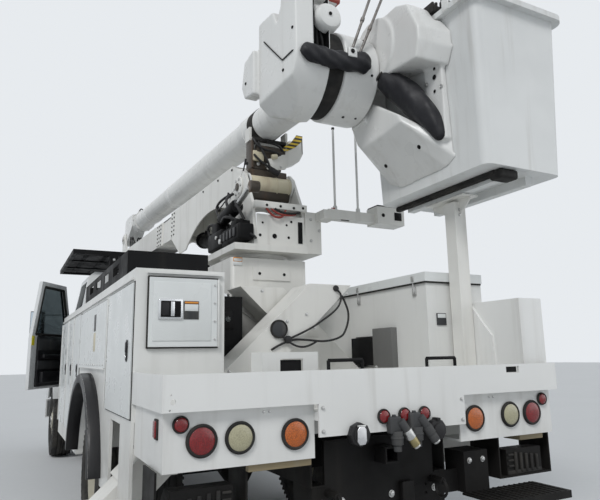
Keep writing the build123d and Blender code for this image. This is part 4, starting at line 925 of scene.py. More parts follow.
@dataclass
class Studio(Assembly):
    """Floor, lights and the camera at the photograph's place."""

    spot: tuple[float, float, float] = (-1824.0, -2463.0, 1370.0)
    ahead: tuple[float, float, float] = (0.4518, 0.8728, 0.1843)
    right: tuple[float, float, float] = (0.8894, -0.4567, -0.0178)
    lens: float = 33.87
    backdrop: tuple[float, float, float] = (0.80, 0.83, 0.86)

    def camera(self) -> None:
        """Stands the camera behind the left rear corner."""
        data = bpy.data.cameras.new("photo_camera")
        data.lens, data.sensor_width, data.clip_end = self.lens, 36.0, 200.0
        data.sensor_fit = "HORIZONTAL"
        camera = bpy.data.objects.new("photo_camera", data)
        ahead = Vector(self.ahead).normalized()
        right = (Vector(self.right) - ahead * Vector(self.right).dot(ahead)).normalized()
        up = right.cross(ahead)
        turn = Matrix((right, up, -ahead)).transposed().to_4x4()
        camera.matrix_world = Matrix.Translation(place(*self.spot)) @ turn
        bpy.context.scene.collection.objects.link(camera)
        bpy.context.scene.camera = camera

    def lights(self) -> None:
        """A soft key from behind on the left, a weak fill, and an even sky."""
        for name, strength, spread, aim in (("key_light", 1.5, 20.0, (0.75, 0.75, -1.05)),
                                            ("fill_light", 0.45, 60.0, (-0.9, 0.65, -0.45))):
            data = bpy.data.lights.new(name, "SUN")
            data.energy, data.angle = strength, math.radians(spread)
            lamp = bpy.data.objects.new(name, data)
            lamp.matrix_world = Vector((0, 0, -1)).rotation_difference(Vector(aim)).to_matrix().to_4x4()
            bpy.context.scene.collection.objects.link(lamp)
        world = bpy.data.worlds.new("pale_world")
        bpy.context.scene.world = world
        world.use_nodes = True
        tree = world.node_tree
        tree.nodes.clear()
        out = tree.nodes.new("ShaderNodeOutputWorld")
        light, shown = tree.nodes.new("ShaderNodeBackground"), tree.nodes.new("ShaderNodeBackground")
        light.inputs["Color"].default_value = (0.86, 0.93, 1.0, 1.0)
        light.inputs["Strength"].default_value = 0.40
        shown.inputs["Color"].default_value = (*self.backdrop, 1.0)
        shown.inputs["Strength"].default_value = 1.0
        path, pick = tree.nodes.new("ShaderNodeLightPath"), tree.nodes.new("ShaderNodeMixShader")
        rays = tree.nodes.new("ShaderNodeMath")
        rays.operation = "MAXIMUM"
        tree.links.new(path.outputs["Is Camera Ray"], rays.inputs[0])
        tree.links.new(path.outputs["Is Glossy Ray"], rays.inputs[1])
        more = tree.nodes.new("ShaderNodeMath")
        more.operation = "MAXIMUM"
        tree.links.new(rays.outputs[0], more.inputs[0])
        tree.links.new(path.outputs["Is Transmission Ray"], more.inputs[1])
        tree.links.new(more.outputs[0], pick.inputs["Fac"])
        tree.links.new(light.outputs[0], pick.inputs[1])
        tree.links.new(shown.outputs[0], pick.inputs[2])
        tree.links.new(pick.outputs[0], out.inputs["Surface"])

    def floor(self) -> None:
        """A wide pale ground plane."""
        mesh = bmesh.new()
        bmesh.ops.create_grid(mesh, x_segments=2, y_segments=2, size=60.0)
        data = bpy.data.meshes.new("studio_floor")
        mesh.to_mesh(data)
        mesh.free()
        data.materials.append(Floor("pale_ground").build())
        ground = bpy.data.objects.new("studio_floor", data)
        ground.location = (0, 0, -0.001)
        bpy.context.scene.collection.objects.link(ground)

    def build(self) -> None:
        """Sets the stage."""
        self.camera()
        self.lights()
        self.floor()
        bpy.context.scene.view_settings.view_transform = "Standard"


# ---------------------------------------------------------------- CAD dressing

@dataclass
class Dressing(Assembly):
    """Finishes for every CAD node that shows."""

    edge: float = 3.0

    def build(self) -> None:
        """Assigns the finishes."""
        # The reservoir's black finish is painted shade for the dark gap between the left compartments and the
        # outrigger.
        self.dress(Finish.BLACK, "frame_rails", "front_axle", "rear_axle", "hitch", "receiver",
                   "rear_ironwork", "reservoir", "knuckle_left", "knuckle_right", "lift_barrel", "cab_guard", "top_tray", edge=1.5)
        self.dress(Finish.BODY, "compartments_left", "compartments_right", "deck", edge=2.0)
        self.dress(Finish.DOORS, *[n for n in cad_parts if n.startswith("door_") and "glass" not in n],
                   "end_door", "bin_lid", edge=self.edge)
        self.dress(Finish.SHELF, "tail_shelf", edge=2.0)
        self.dress(Finish.STEEL, "outrigger_housings", "outrigger_leg_left", "outrigger_leg_right",
                   "pedestal", "turret", "lower_boom", "bucket_post", edge=2.5)
        self.dress(Finish.GEL, "upper_boom", edge=3.0)
        self.dress(Finish.GEL_DULL, "bucket")
        self.dress(Finish.CAB, "cab_shell", "cab_door_left", "cab_door_right", "hood", edge=6.0)
        self.dress(Finish.CAB, "front_bumper", edge=4.0)
        self.dress(Finish.GLASS, "cab_glass")
        self.dress(Finish.DOOR_GLASS, "door_glass_left", "door_glass_right")
        self.dress(Finish.GREY, "dashboard", edge=4.0)
        self.dress(Finish.BLACK_GLOSS, "grille", edge=1.0)
        self.dress(Finish.ALUMINIUM, "side_tanks", edge=3.0)
        self.dress(Finish.IRON, "engine", edge=8.0)
        self.dress(Finish.CHROME, "lift_rod")
        self.dress(Finish.RED_LENS, "tail_lamps")
        self.dress(Finish.TYRE, *[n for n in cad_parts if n.startswith("tyre")])
        self.dress(Finish.RIM, *[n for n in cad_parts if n.startswith("rim")])


# ---------------------------------------------------------------- tail

@dataclass
class TailLamps(Assembly):
    """Round lamps in rubber rings, each with the colour of its job."""

    large: float = 73.0
    small: float = 38.0
    setback: float = 50.0
    places: tuple[tuple[float, float, bool, Finish], ...] = (
        (-1125, 1085, False, Finish.RED_LENS), (-1030, 1010, True, Finish.RED_LENS),
        (-850, 1010, True, Finish.CLEAR_LENS), (-570, 1005, True, Finish.AMBER_LENS),
        (-90, 1060, False, Finish.RED_LENS), (40, 1060, False, Finish.RED_LENS),
        (170, 1060, False, Finish.RED_LENS), (570, 1005, True, Finish.AMBER_LENS),
        (850, 1010, True, Finish.CLEAR_LENS), (1030, 1010, True, Finish.RED_LENS),
        (1125, 1085, False, Finish.RED_LENS))

    def build(self) -> None:
        """Makes the lamps and the red marker on the left side."""
        lamps = Form("tail_lamps_with_grommets", Finish.RUBBER)
        for x, z, big, colour in self.places:
            r = self.large if big else self.small
            back = self.setback if abs(x) > 400 else 0.0
            lamps.use(Finish.RUBBER).lathe([(-2, r - 1), (-9, r), (-15, r - 4), (-18, r * 0.90),
                                            (-15, r * 0.80), (-2, r * 0.78)], (x, back, z), Axis.Y, 40)
            lamps.use(colour).lathe([(-2, 0), (-2, r * 0.81), (-14, r * 0.80), (-19, r * 0.68),
                                     (-22, r * 0.42), (-23, 0)], (x, back, z), Axis.Y, 40)
        lamps.done("chassis", "lamp_red", ("tail_lamps",))
        marker = Form("side_markers", Finish.RUBBER)
        marker.box((-1209, 130, 1015), (-1199, 185, 1105), 4).use(Finish.RED_LENS)
        marker.box((-1216, 138, 1023), (-1206, 177, 1097), 5, 3).mirror()
        marker.done("chassis", "lamp_red")


@dataclass
class TailFittings(Assembly):
    """Couplers, trailer socket, lip hardware, chocks, pads and hoops behind the tail shelf."""

    couplers: tuple[float, ...] = (-40.0, 88.0)
    socket: tuple[float, float] = (-255.0, 985.0)
    cap: tuple[float, float] = (237.0, 974.0)

    def build_couplers(self) -> None:
        """Two valve blocks with quick couplers that lean to the right."""
        for index, x in enumerate(self.couplers):
            part = Form(f"tool_coupler_{index + 1}", Finish.GREY)
            z = 1016.0 + 13.0 * index
            part.box((x - 35, -42, z - 42), (x + 35, -1, z + 42), 9, 3)
            part.bar((x - 4, -30, z + 40), (x - 4, -30, z + 52), 11, 6, 1.5)
            for low, high, r in ((30, 96, 30), (56, 68, 33), (96, 128, 21)):
                part.bar((x + 8, -34, z - low), (x + 8, -34, z - high), r, 28, 3)
            part.bar((x + 30, -34, z + 20), (x + 72, -44, z - 44), 24, 28, 4)
            part.use(Finish.STEEL_BARE if index == 0 else Finish.GREY)
            part.bar((x + 62, -42, z - 28), (x + 88, -48, z - 68), 27, 28, 3)
            part.use(Finish.BRASS if index == 0 else Finish.GREY)
            part.bar((x + 84, -47, z - 62), (x + 112, -54, z - 104), 24, 24, 4)
            part.use(Finish.STEEL_BARE).bar((x + 110, -53, z - 101), (x + 118, -55, z - 113), 20, 24, 4)
            part.done("chassis", "cast_metal")

    def build_socket(self) -> None:
        """The trailer socket with its hanging cover, and the black cap beside it."""
        x, z = self.socket
        part = Form("trailer_socket", Finish.BLACK_GLOSS)
        part.bar((x + 6, -38, z), (x + 6, 12, z), 58, 8, 6).bar((x + 6, -44, z), (x + 6, -38, z), 44, 28, 2)
        part.use(Finish.STEEL_BARE).box((x - 22, -56, z + 38), (x + 24, -44, z + 48), 3)
        part.use(Finish.ALUMINIUM)
        part.plate([(x - 12, z + 42), (x + 16, z + 42), (x + 26, z + 24), (x + 27, z - 26), (x + 18, z - 44),
                    (x - 14, z - 46), (x - 26, z - 28), (x - 24, z + 24)], Axis.Y, -56, -47, 3, 3)
        part.done("chassis", "black_plastic")
        x, z = self.cap
        cap = Form("round_black_cap", Finish.BLACK_GLOSS)
        cap.bar((x, -36, z), (x, 10, z), 56, 10, 7).bar((x, -46, z), (x, -36, z), 34, 24, 4)
        cap.box((x - 12, -44, z + 44), (x + 12, 0, z + 62), 4)
        cap.done("chassis", "black_plastic")

    def build_chocks(self) -> None:
        """Ribbed rubber wedges and worn timber pads in the holders under the lamp boxes."""
        part = Form("chocks_and_pads", Finish.RUBBER)
        for i in range(5):
            x = 920 + i * 44
            part.box((x, 98, 668), (x + 20, 112, 782 - 6 * i), 7, 3)
        part.box((862, 104, 655), (1148, 122, 680), 6)
        for z in (700, 732, 764):
            part.box((868, 99, z), (912, 108, z + 12), 4)
        part.mirror().use(Finish.TIMBER).box((-800, 70, 850), (-470, 210, 882), 5).box((950, 80, 850), (1150, 210, 882), 5)
        part.done("chassis", "black_plastic")

    def build_lip(self) -> None:
        """Bolts on the shelf and the hitch, a black block in the lip's slot and the frame's hangers."""
        part = Form("tail_bolts", Finish.STEEL_BARE)
        for x in (-440, 440):
            for z in (1010, 1120):
                part.bolt((x, 0, z), (0, -1, 0), 8)
        for x in (-370, -250, 60, 150, 350):
            part.bolt((x, 165, 640), (0, -1, 0), 14, 9)
        for x in (-700, -730, 700, 730):
            part.bolt((x, 50, 1115), (0, -1, 0), 5, 3)
        for x in (560, 660):
            part.bolt((x, 100, 770), (0, -1, 0), 12, 8)
        part.use(Finish.BLACK).bar((-330, 60, 690), (-330, 170, 690), 20, 20, 3)
        part.lathe([(-9, 46), (0, 55), (9, 46), (0, 37)], (-330, 80, 655), Axis.X, 28)
        part.lathe([(-9, 46), (0, 55), (9, 46), (0, 37)], (330, 80, 655), Axis.X, 28)
        part.bar((330, 60, 690), (330, 170, 690), 20, 20, 3)
        # Black block set into the lip's slot, and a thin black plate.
        part.box((110, 130, 570), (190, 166, 700), 8).box((805, 14, 1253), (900, 24, 1285), 3)
        part.done("chassis", "black_steel")
        step = Form("step_grip", Finish.BLACK)
        for i in range(13):
            step.box((524 + i * 42, -146, 598), (536 + i * 42, 116, 604), 2)
        step.done("chassis", "black_steel")

    def build_ironwork(self) -> None:
        """The labels' bare plates."""
        part = Form("blank_plates", Finish.GREY)
        part.box((790, 562, 1560), (872, 570, 1642), 2).use(Finish.DOORS)
        part.box((796, 560, 1610), (866, 564, 1637), 1).done("chassis", "black_plastic")

    def build(self) -> None:
        """Makes all tail fittings."""
        self.build_couplers()
        self.build_socket()
        self.build_chocks()
        self.build_lip()
        self.build_ironwork()


# ---------------------------------------------------------------- line body

@dataclass
class LineBody(Assembly):
    """Seals, latches, hinges, flares and lids on the two rows of compartments."""

    half: float = 1220.0
    proud: float = 1232.0
    doors: tuple[tuple[str, Side, float, float, float, float], ...] = (
        ("left_tall_rear", Side.LEFT, 650, 1490, 1060, 1780),
        ("left_over_wheel", Side.LEFT, 1550, 3030, 1310, 1770),
        ("left_front_a", Side.LEFT, 3060, 3590, 700, 1780),
        ("left_front_b", Side.LEFT, 3590, 4130, 700, 1780),
        ("left_front_c", Side.LEFT, 4130, 4860, 700, 1780),
        ("right_tall_rear", Side.RIGHT, 590, 1490, 1060, 1780),
        ("right_front_a", Side.RIGHT, 3060, 3950, 700, 1780),
        ("right_front_b", Side.RIGHT, 3950, 4860, 700, 1780))
    axle: tuple[float, float] = (2330.0, 500.0)
    arch: float = 700.0

    def build_seals(self) -> None:
        """A black seal round every door opening."""
        part = Form("door_seals", Finish.RUBBER)
        for _, side, y0, y1, z0, z1 in self.doors:
            x0, x1 = sorted((side.value * 1203.0, side.value * 1224.0))
            for low, high in (((x0, y0 + 1, z0 - 7), (x1, y0 + 11, z1 + 7)),
                              ((x0, y1 - 11, z0 - 7), (x1, y1 - 6, z1 + 7)),
                              ((x0, y0 + 8, z1 + 1), (x1, y1 - 8, z1 + 8)),
                              ((x0, y0 + 8, z0 - 8), (x1, y1 - 8, z0 - 1))):
                part.box(low, high, 2, 1)
        part.box((-1157, 634, 1422), (-755, 650, 1429), 2, 1).box((-1157, 634, 1811), (-755, 650, 1818), 2, 1)
        part.box((-1157, 634, 1422), (-1151, 650, 1818), 2, 1)
        part.done("chassis", "black_plastic")

    def latch(self, part: Form, side: Side, y: float, z: float) -> None:
        """A recessed oval latch with its lock.

        Args:
            part: The piece it is added to.
            side: Which row it is on.
            y: Its middle along the truck.
            z: Its middle height.
        """
        s = side.value
        oval = [(y + 26 * math.cos(a) * 1.0, z + (34 if math.sin(a) > 0 else -34) + 26 * math.sin(a))
                for a in (math.tau * (i + 0.5) / 20 for i in range(20))]
        inner = [(y + (a - y) * 0.72, z + (b - z) * 0.84) for a, b in oval]
        part.use(Finish.BLACK_GLOSS).plate(oval, Axis.X, s * self.proud - s * 1, s * (self.proud + 5), 2)
        part.use(Finish.BLACK).plate(inner, Axis.X, s * (self.proud + 4), s * (self.proud + 6), 0.8)
        part.use(Finish.CHROME).bar((s * (self.proud + 3), y, z - 34), (s * (self.proud + 9), y, z - 34), 9, 20, 1.5)
        x0, x1 = sorted((s * (self.proud + 4), s * (self.proud + 10)))
        part.use(Finish.BLACK_GLOSS).box((x0, y - 12, z - 10), (x1, y + 12, z + 46), 3)

    def build_latches(self) -> None:
        """Latches and stamped fields on every door."""
        for name, side, y0, y1, z0, z1 in self.doors:
            s = side.value
            part = Form(f"fittings_{name}", Finish.DOORS)
            x0, x1 = sorted((s * (self.proud - 1), s * (self.proud + 2.2)))
            if z0 == 1310:
                part.use(Finish.BLACK_GLOSS).box((x0, 2040, 1580), (x1, 2130, 1705), 4)
                part.use(Finish.CREAM).box((x0, 2040, 1430), (x1, 2130, 1568), 3)
                part.use(Finish.STEEL_BARE)
                for i in range(12):
                    part.bolt((s * (self.proud - 0.5), y0 + 80 + i * 120, z0 + 22), (s, 0, 0), 5, 3)
            else:
                self.latch(part, side, y0 + 118 if z0 == 1060 else y0 + 112, 1415 if z0 == 1060 else 1275)
                part.use(Finish.STEEL_BARE)
                for i in range(6):
                    part.bolt((s * (self.proud - 0.5), y1 - 30, z0 + 60 + i * (z1 - z0 - 120) / 5), (s, 0, 0), 5, 3)
            part.done(f"door_{name}", "white_paint")

    def build_end_door(self) -> None:
        """The raised field, latch and bare label plate of the small rear door."""
        part = Form("end_door_fittings", Finish.DOORS)
        part.box((-1128, 621, 1462), (-800, 627, 1786), 5, 3)
        part.use(Finish.CHROME).box((-1102, 611, 1578), (-966, 623, 1692), 6, 3)
        part.use(Finish.BLACK).box((-1090, 608, 1590), (-978, 616, 1680), 4, 2)
        part.use(Finish.CHROME).box((-1036, 604, 1594), (-1014, 612, 1676), 4, 2)
        part.use(Finish.BLACK_GLOSS).box((-1084, 606, 1600), (-1044, 611, 1670), 3)
        part.use(Finish.GREY).box((-960, 617, 1580), (-874, 623, 1682), 3)
        part.use(Finish.DOORS).box((-956, 614, 1626), (-878, 619, 1664), 2)
        part.use(Finish.ORANGE).box((-956, 614, 1668), (-878, 619, 1678), 2)
        part.use(Finish.STEEL_BARE)
        for i in range(4):
            part.bolt((-778, 623.5, 1470 + i * 102), (0, -1, 0), 5, 3)
        part.done("end_door", "white_paint")

    def build_flares(self) -> None:
        """Rounded black rubber flares over both rear wheel arches."""
        y, z = self.axle
        r = self.arch
        rim = [(1204, r - 3), (1304, r - 3), (1306, r + 22), (1305, r + 48), (1299, r + 62),
               (1284, r + 67), (1240, r + 68), (1204, r + 66)]
        sections = []
        for i in range(41):
            a = math.radians(8.5 + 163.0 * i / 40)
            sections.append([(x, y + d * math.cos(a), z + d * math.sin(a)) for x, d in rim])
        Form("rear_flares", Finish.BLACK_GLOSS).shell(sections, 3, 2, 40).mirror().done("chassis", "black_plastic")

    def build_lid(self) -> None:
        """Rubber strip and draw latches of the right row's lid, and the rails' rivets."""
        part = Form("bin_lid_seal", Finish.RUBBER)
        part.box((701, 558, 1849), (1214, 568, 1861), 3).box((699, 562, 1849), (709, 3036, 1861), 3)
        part.use(Finish.STEEL_BARE)
        for y in (690, 1400, 2400):
            part.box((692, y - 16, 1870), (699, y + 16, 1908), 3)
        part.done("bin_lid", "black_plastic")
        low = Form("draw_latches", Finish.STEEL_BARE)
        for y in (690, 1400, 2400):
            low.box((702, y - 20, 1770), (714, y + 20, 1832), 4).bar((700, y, 1800), (700, y, 1858), 5, 12)
            low.box((694, y - 9, 1776), (704, y + 9, 1812), 3)
        low.use(Finish.PANEL).box((662, 926, 1276), (670, 1164, 1564), 4).box((664, 922, 1276), (717, 932, 1564), 3)
        # Black back, walls and sill of the opening beside the grey panel: painted shade inside the opening.
        low.use(Finish.BLACK).box((668, 1150, 1290), (684, 1476, 1500), 4).box((684, 1462, 1290), (810, 1476, 1500), 4)
        low.box((684, 1150, 1290), (810, 1476, 1304), 3).box((668, 1150, 1290), (810, 1162, 1500), 4)
        low.done("chassis", "cast_metal")

    def build(self) -> None:
        """Makes everything on the line body."""
        self.build_seals()
        self.build_latches()
        self.build_end_door()
        self.build_flares()
        self.build_lid()


# ---------------------------------------------------------------- boom tip and bucket

@dataclass
class BoomTip(Assembly):
    """Painted-shade lining of the well, a ring in the groove, boot, winch and bolts on the covers at the upper boom's
    tip.
    """

    drum: tuple[float, float, float] = (930.0, 3415.0, 330.0)
    well: tuple[float, float] = (-98.0, 19.0)
    groove: tuple[float, float] = (31.0, 155.0)

    def build_well(self) -> None:
        """Black sheets on the floor and walls of the well between the cover and the thin plate, painted shade in the
        recess, with a black block and two hoses.
        """
        x0, x1 = self.well
        part = Form("tip_well_shade_lining", Finish.BLACK)
        # Black floor and walls of the well: painted shade in the recess.
        part.box((x0, 603, 3444), (x1, 989, 3449), 1)
        side = [(603, 3446), (989, 3446), (989, 3812), (790, 3812), (790, 3945), (603, 3945)]
        part.plate(side, Axis.X, x0 - 0.5, x0 + 3, 0.5).plate(side, Axis.X, x1 - 3, x1 + 0.5, 0.5)
        part.box((x0, 984, 3446), (x1, 991, 3812), 1)
        part.box((x0 + 14, 660, 3449), (x1 - 14, 900, 3560), 14, 3)
        part.pipe([(x0 + 40, 640, 3470), (x0 + 46, 650, 3600), (x0 + 60, 720, 3700), (x0 + 70, 760, 3760)], 14)
        part.pipe([(x1 - 30, 640, 3470), (x1 - 34, 640, 3560), (x1 - 50, 700, 3660), (x1 - 60, 780, 3740)], 12)
        part.done("upper_boom", "black_plastic")

    def build_groove_ring(self) -> None:
        """A black ring sunk in the groove, and the boot under the rear edge."""
        y, z, r = self.drum
        x0, x1 = self.groove
        part = Form("tip_groove_ring", Finish.RUBBER)
        # A black ring fills the bottom of the groove.
        part.lathe([(x0 + 5, r - 37), (x1 - 5, r - 37), (x1 - 5, r - 16), (x0 + 5, r - 16)], (0, y, z), Axis.X, 72)
        part.done("upper_boom", "black_plastic")
        boot = Form("tip_boot", Finish.VINYL).sleeve([
            (-206, 594, 3402, 26), (-186, 592, 3392, 52), (-150, 588, 3380, 60), (-118, 588, 3376, 70), (-84, 586, 3368, 60),
            (-48, 586, 3372, 72), (-10, 586, 3364, 61), (30, 586, 3368, 71), (66, 586, 3364, 60), (104, 586, 3372, 72),
            (144, 586, 3370, 63), (184, 586, 3380, 77), (224, 586, 3384, 69), (270, 588, 3398, 83), (318, 590, 3404, 70),
            (344, 594, 3404, 46)], 0.62, 0.15).done("upper_boom", "black_plastic", smooth=80)
        soft = boot.modifiers.new("soft", "SUBSURF")
        soft.levels = soft.render_levels = 1

    def build_winch(self) -> None:
        """The red winch body with its motor, drum end and the two polished rods."""
        part = Form("load_winch", Finish.RED)
        part.box((-101, 627, 3846), (141, 902, 3996), 14, 3).bar((60, 765, 3925), (152, 765, 3925), 62, 32, 6)
        for y in (660, 870):
            for z in (3870, 3975):
                part.bolt((141, y, z), (1, 0, 0), 11)
        part.use(Finish.GEL).lathe([(-40, 0), (-44, 60), (-36, 84), (-16, 98), (40, 100), (52, 92), (52, 0)],
                                   (16, 606, 3684), Axis.Y, 48)
        part.box((-64, 640, 3660), (90, 700, 3790), 16, 3)
        part.use(Finish.BLACK).bar((12, 564, 3690), (12, 556, 3690), 13, 20, 3)
        part.use(Finish.GREASE).bar((-70, 740, 3765), (16, 740, 3765), 70, 36, 3)
        part.done("upper_boom", "cast_metal")
        rods = Form("polished_links", Finish.IRON)
        rods.bar((385, 588, 3975), (182, 588, 3440), 10, 20, 2).bar((484, 592, 3975), (222, 592, 3374), 10, 20, 2)
        rods.bar((300, 588, 3752), (288, 588, 3720), 15, 20, 3).bar((365, 592, 3704), (350, 592, 3668), 14, 20, 3)
        rods.use(Finish.BLACK).bar((350, 590, 3984), (510, 590, 3984), 13, 20, 4)
        rods.use(Finish.GEL).box((136, 536, 3392), (206, 560, 3462), 7, 3)
        rods.use(Finish.BLACK).bar((166, 538, 3432), (166, 528, 3432), 16, 24, 4)
        rods.use(Finish.STEEL_BARE).box((170, 570, 3420), (196, 606, 3452), 4).box((208, 574, 3352), (236, 610, 3388), 4)
        rods.done("upper_boom", "rod_chrome")

    def build_bolts(self) -> None:
        """Screws round the drum and on the covers, and the bent wire on the left face."""
        y, z, r = self.drum
        part = Form("tip_screws", Finish.BLACK)
        for i in range(6):
            a = math.tau * (i + 0.25) / 6
            part.bolt((372, y + r * math.cos(a), z + r * math.sin(a)), (0, math.cos(a), math.sin(a)), 7, 4)
        for x, a in ((270, -1.80), (-10, -1.80), (-30, -2.2)):
            part.bolt((x, y + r * math.cos(a), z + r * math.sin(a)), (0, math.cos(a), math.sin(a)), 8, 4)
        for a, b in ((760, 3300), (640, 3560)):
            x = -240 - 60 * (a - 605) / 455
            part.bolt((x, a, b), (-1, -0.13, 0), 9, 5)
        for a, b in ((1235, 3400),):
            part.bolt((-345, a, b), (-1, 0, 0), 9, 5)
        part.pipe([(-297, 1001, 3632), (-283, 888, 3509), (-266, 761, 3374), (-250, 640, 3387), (-214, 606, 3396)], 4.5, 10, False)
        part.done("upper_boom", "black_plastic")

    def build(self) -> None:
        """Makes the tip's details."""
        self.moulded("tip_cover", "boom_tip", "upper_boom")
        self.build_well()
        self.build_groove_ring()
        self.build_winch()
        self.build_bolts()


@dataclass
class BucketMount(Assembly):
    """Sleeve, column holes, handles, hoses and lip fittings round the bucket."""

    wall: float = 690.0

    def build_sleeve(self) -> None:
        """The creased black sleeve over the hoses from the pivot to the column."""
        part = Form("hose_sleeve", Finish.VINYL).sleeve([
            (456, 636, 3340, 60), (490, 600, 3312, 84), (524, 548, 3256, 96), (545, 500, 3196, 102), (566, 440, 3120, 101),
            (584, 380, 3040, 96), (600, 322, 2958, 84), (614, 272, 2878, 68), (624, 240, 2806, 50), (630, 224, 2748, 30)])
        part.use(Finish.RUBBER).bar((452, 640, 3342), (462, 632, 3332), 58, 24, 4)
        sleeve = part.done("bucket", "black_plastic", smooth=80)
        soft = sleeve.modifiers.new("soft", "SUBSURF")
        soft.levels = soft.render_levels = 1

    def build_column(self) -> None:
        """Bolt holes and lugs on the upright column plate, a bolt and a small round knob."""
        part = Form("column_bolts", Finish.BLACK)
        for y, z, r in ((230, 3350, 10), (235, 3270, 9), (240, 3210, 15), (245, 3110, 9), (300, 2860, 10)):
            part.lathe([(-1, 0), (-1, r), (-4, r + 3), (-6, r), (-5, 0)], (637, y + 20, z), Axis.X, 24)
        part.use(Finish.STEEL_BARE).bolt((632, 340, 3190), (-1, 0, 0), 12, 7)
        part.lathe([(2, 0), (2, 14), (-5, 14), (-7, 11), (-5, 8), (-2, 7), (-2, 0)], (637, 200, 3119), Axis.X, 24)
        part.done("bucket", "black_plastic")

    def build_wall(self) -> None:
        """The rubber strip, rolled rim and fittings of the bucket."""
        part = Form("bucket_trim", Finish.RUBBER)
        x0, x1, y0, y1 = 662, 1420, -120, 1090
        part.box((846, 10, 2472), (893, 1040, 2512), 14, 3).box((850, -48, 2446), (1004, 60, 2508), 18, 3)
        part.use(Finish.GEL_DULL)
        rim = [(x0 - 28, y0 + 60), (x0 - 6, y0 - 6), (x0 + 60, y0 - 26), (x1 - 60, y0 - 26), (x1 + 6, y0 - 6),
               (x1 + 28, y0 + 60), (x1 + 28, y1 - 60), (x1 + 6, y1 + 6), (x1 - 60, y1 + 28), (x0 + 60, y1 + 28),
               (x0 - 6, y1 + 6), (x0 - 28, y1 - 60)]
        part.pipe([(x, y, 3627) for x, y in rim + rim[:2]], 16, 12)
        part.use(Finish.GREY)
        part.pipe([(x1 - 60, 300, 3640), (x1 - 60, 300, 3660), (x1 - 60, 500, 3662), (x1 - 60, 500, 3640)], 10)
        part.done("bucket", "fibreglass")
        box = Form("control_console", Finish.BLACK_GLOSS)
        box.box((700, 250, 3640), (860, 560, 3760), 14, 3)
        for i in range(4):
            y = 300 + i * 66
            box.use(Finish.STEEL_BARE).bar((780, y, 3756), (782, y - 8, 3840), 5, 12)
            box.use(Finish.RUBBER).bar((782, y - 8, 3835), (783, y - 10, 3872), 12, 16, 5)
            box.bar((780, y, 3754), (780, y, 3770), 18, 16, 5, 9)
        box.use(Finish.GEL).box((640, 300, 3648), (702, 520, 3672), 6)
        box.use(Finish.RUBBER).box((616, 96, 3650), (700, 150, 3700), 10).box((612, 180, 3655), (690, 236, 3700), 10)
        box.use(Finish.GEL).box((606, 60, 3600), (622, 118, 3690), 5)
        box.done("bucket", "black_plastic")
        steps = Form("bucket_step", Finish.GEL_DULL)
        steps.box((1376, 380, 3000), (1398, 720, 3060), 10).box((1366, 380, 2800), (1398, 720, 2990), 14, 3)
        steps.use(Finish.RUBBER).box((1380, 400, 3056), (1396, 700, 3066), 3)
        steps.done("bucket", "fibreglass")

    def build_wedge(self) -> None:
        """Dark bolts on the lower cover and the curved band of the head cover."""
        part = Form("mount_bolts", Finish.BLACK)
        for x, y, z in ((588, 405, 2755), (585, 784, 2739)):
            part.bolt((x, y, z), (-0.86, -0.06, -0.51), 11, 5)
        part.use(Finish.RUBBER).box((603, 196, 3660), (622, 300, 3735), 6)
        part.done("bucket", "black_plastic")

    def build(self) -> None:
        """Makes the bucket's details."""
        self.moulded("mount_covers", "bucket_mount", "bucket")
        self.build_sleeve()
        self.build_column()
        self.build_wall()
        self.build_wedge()

# ---------------------------------------------------------------- turret and booms

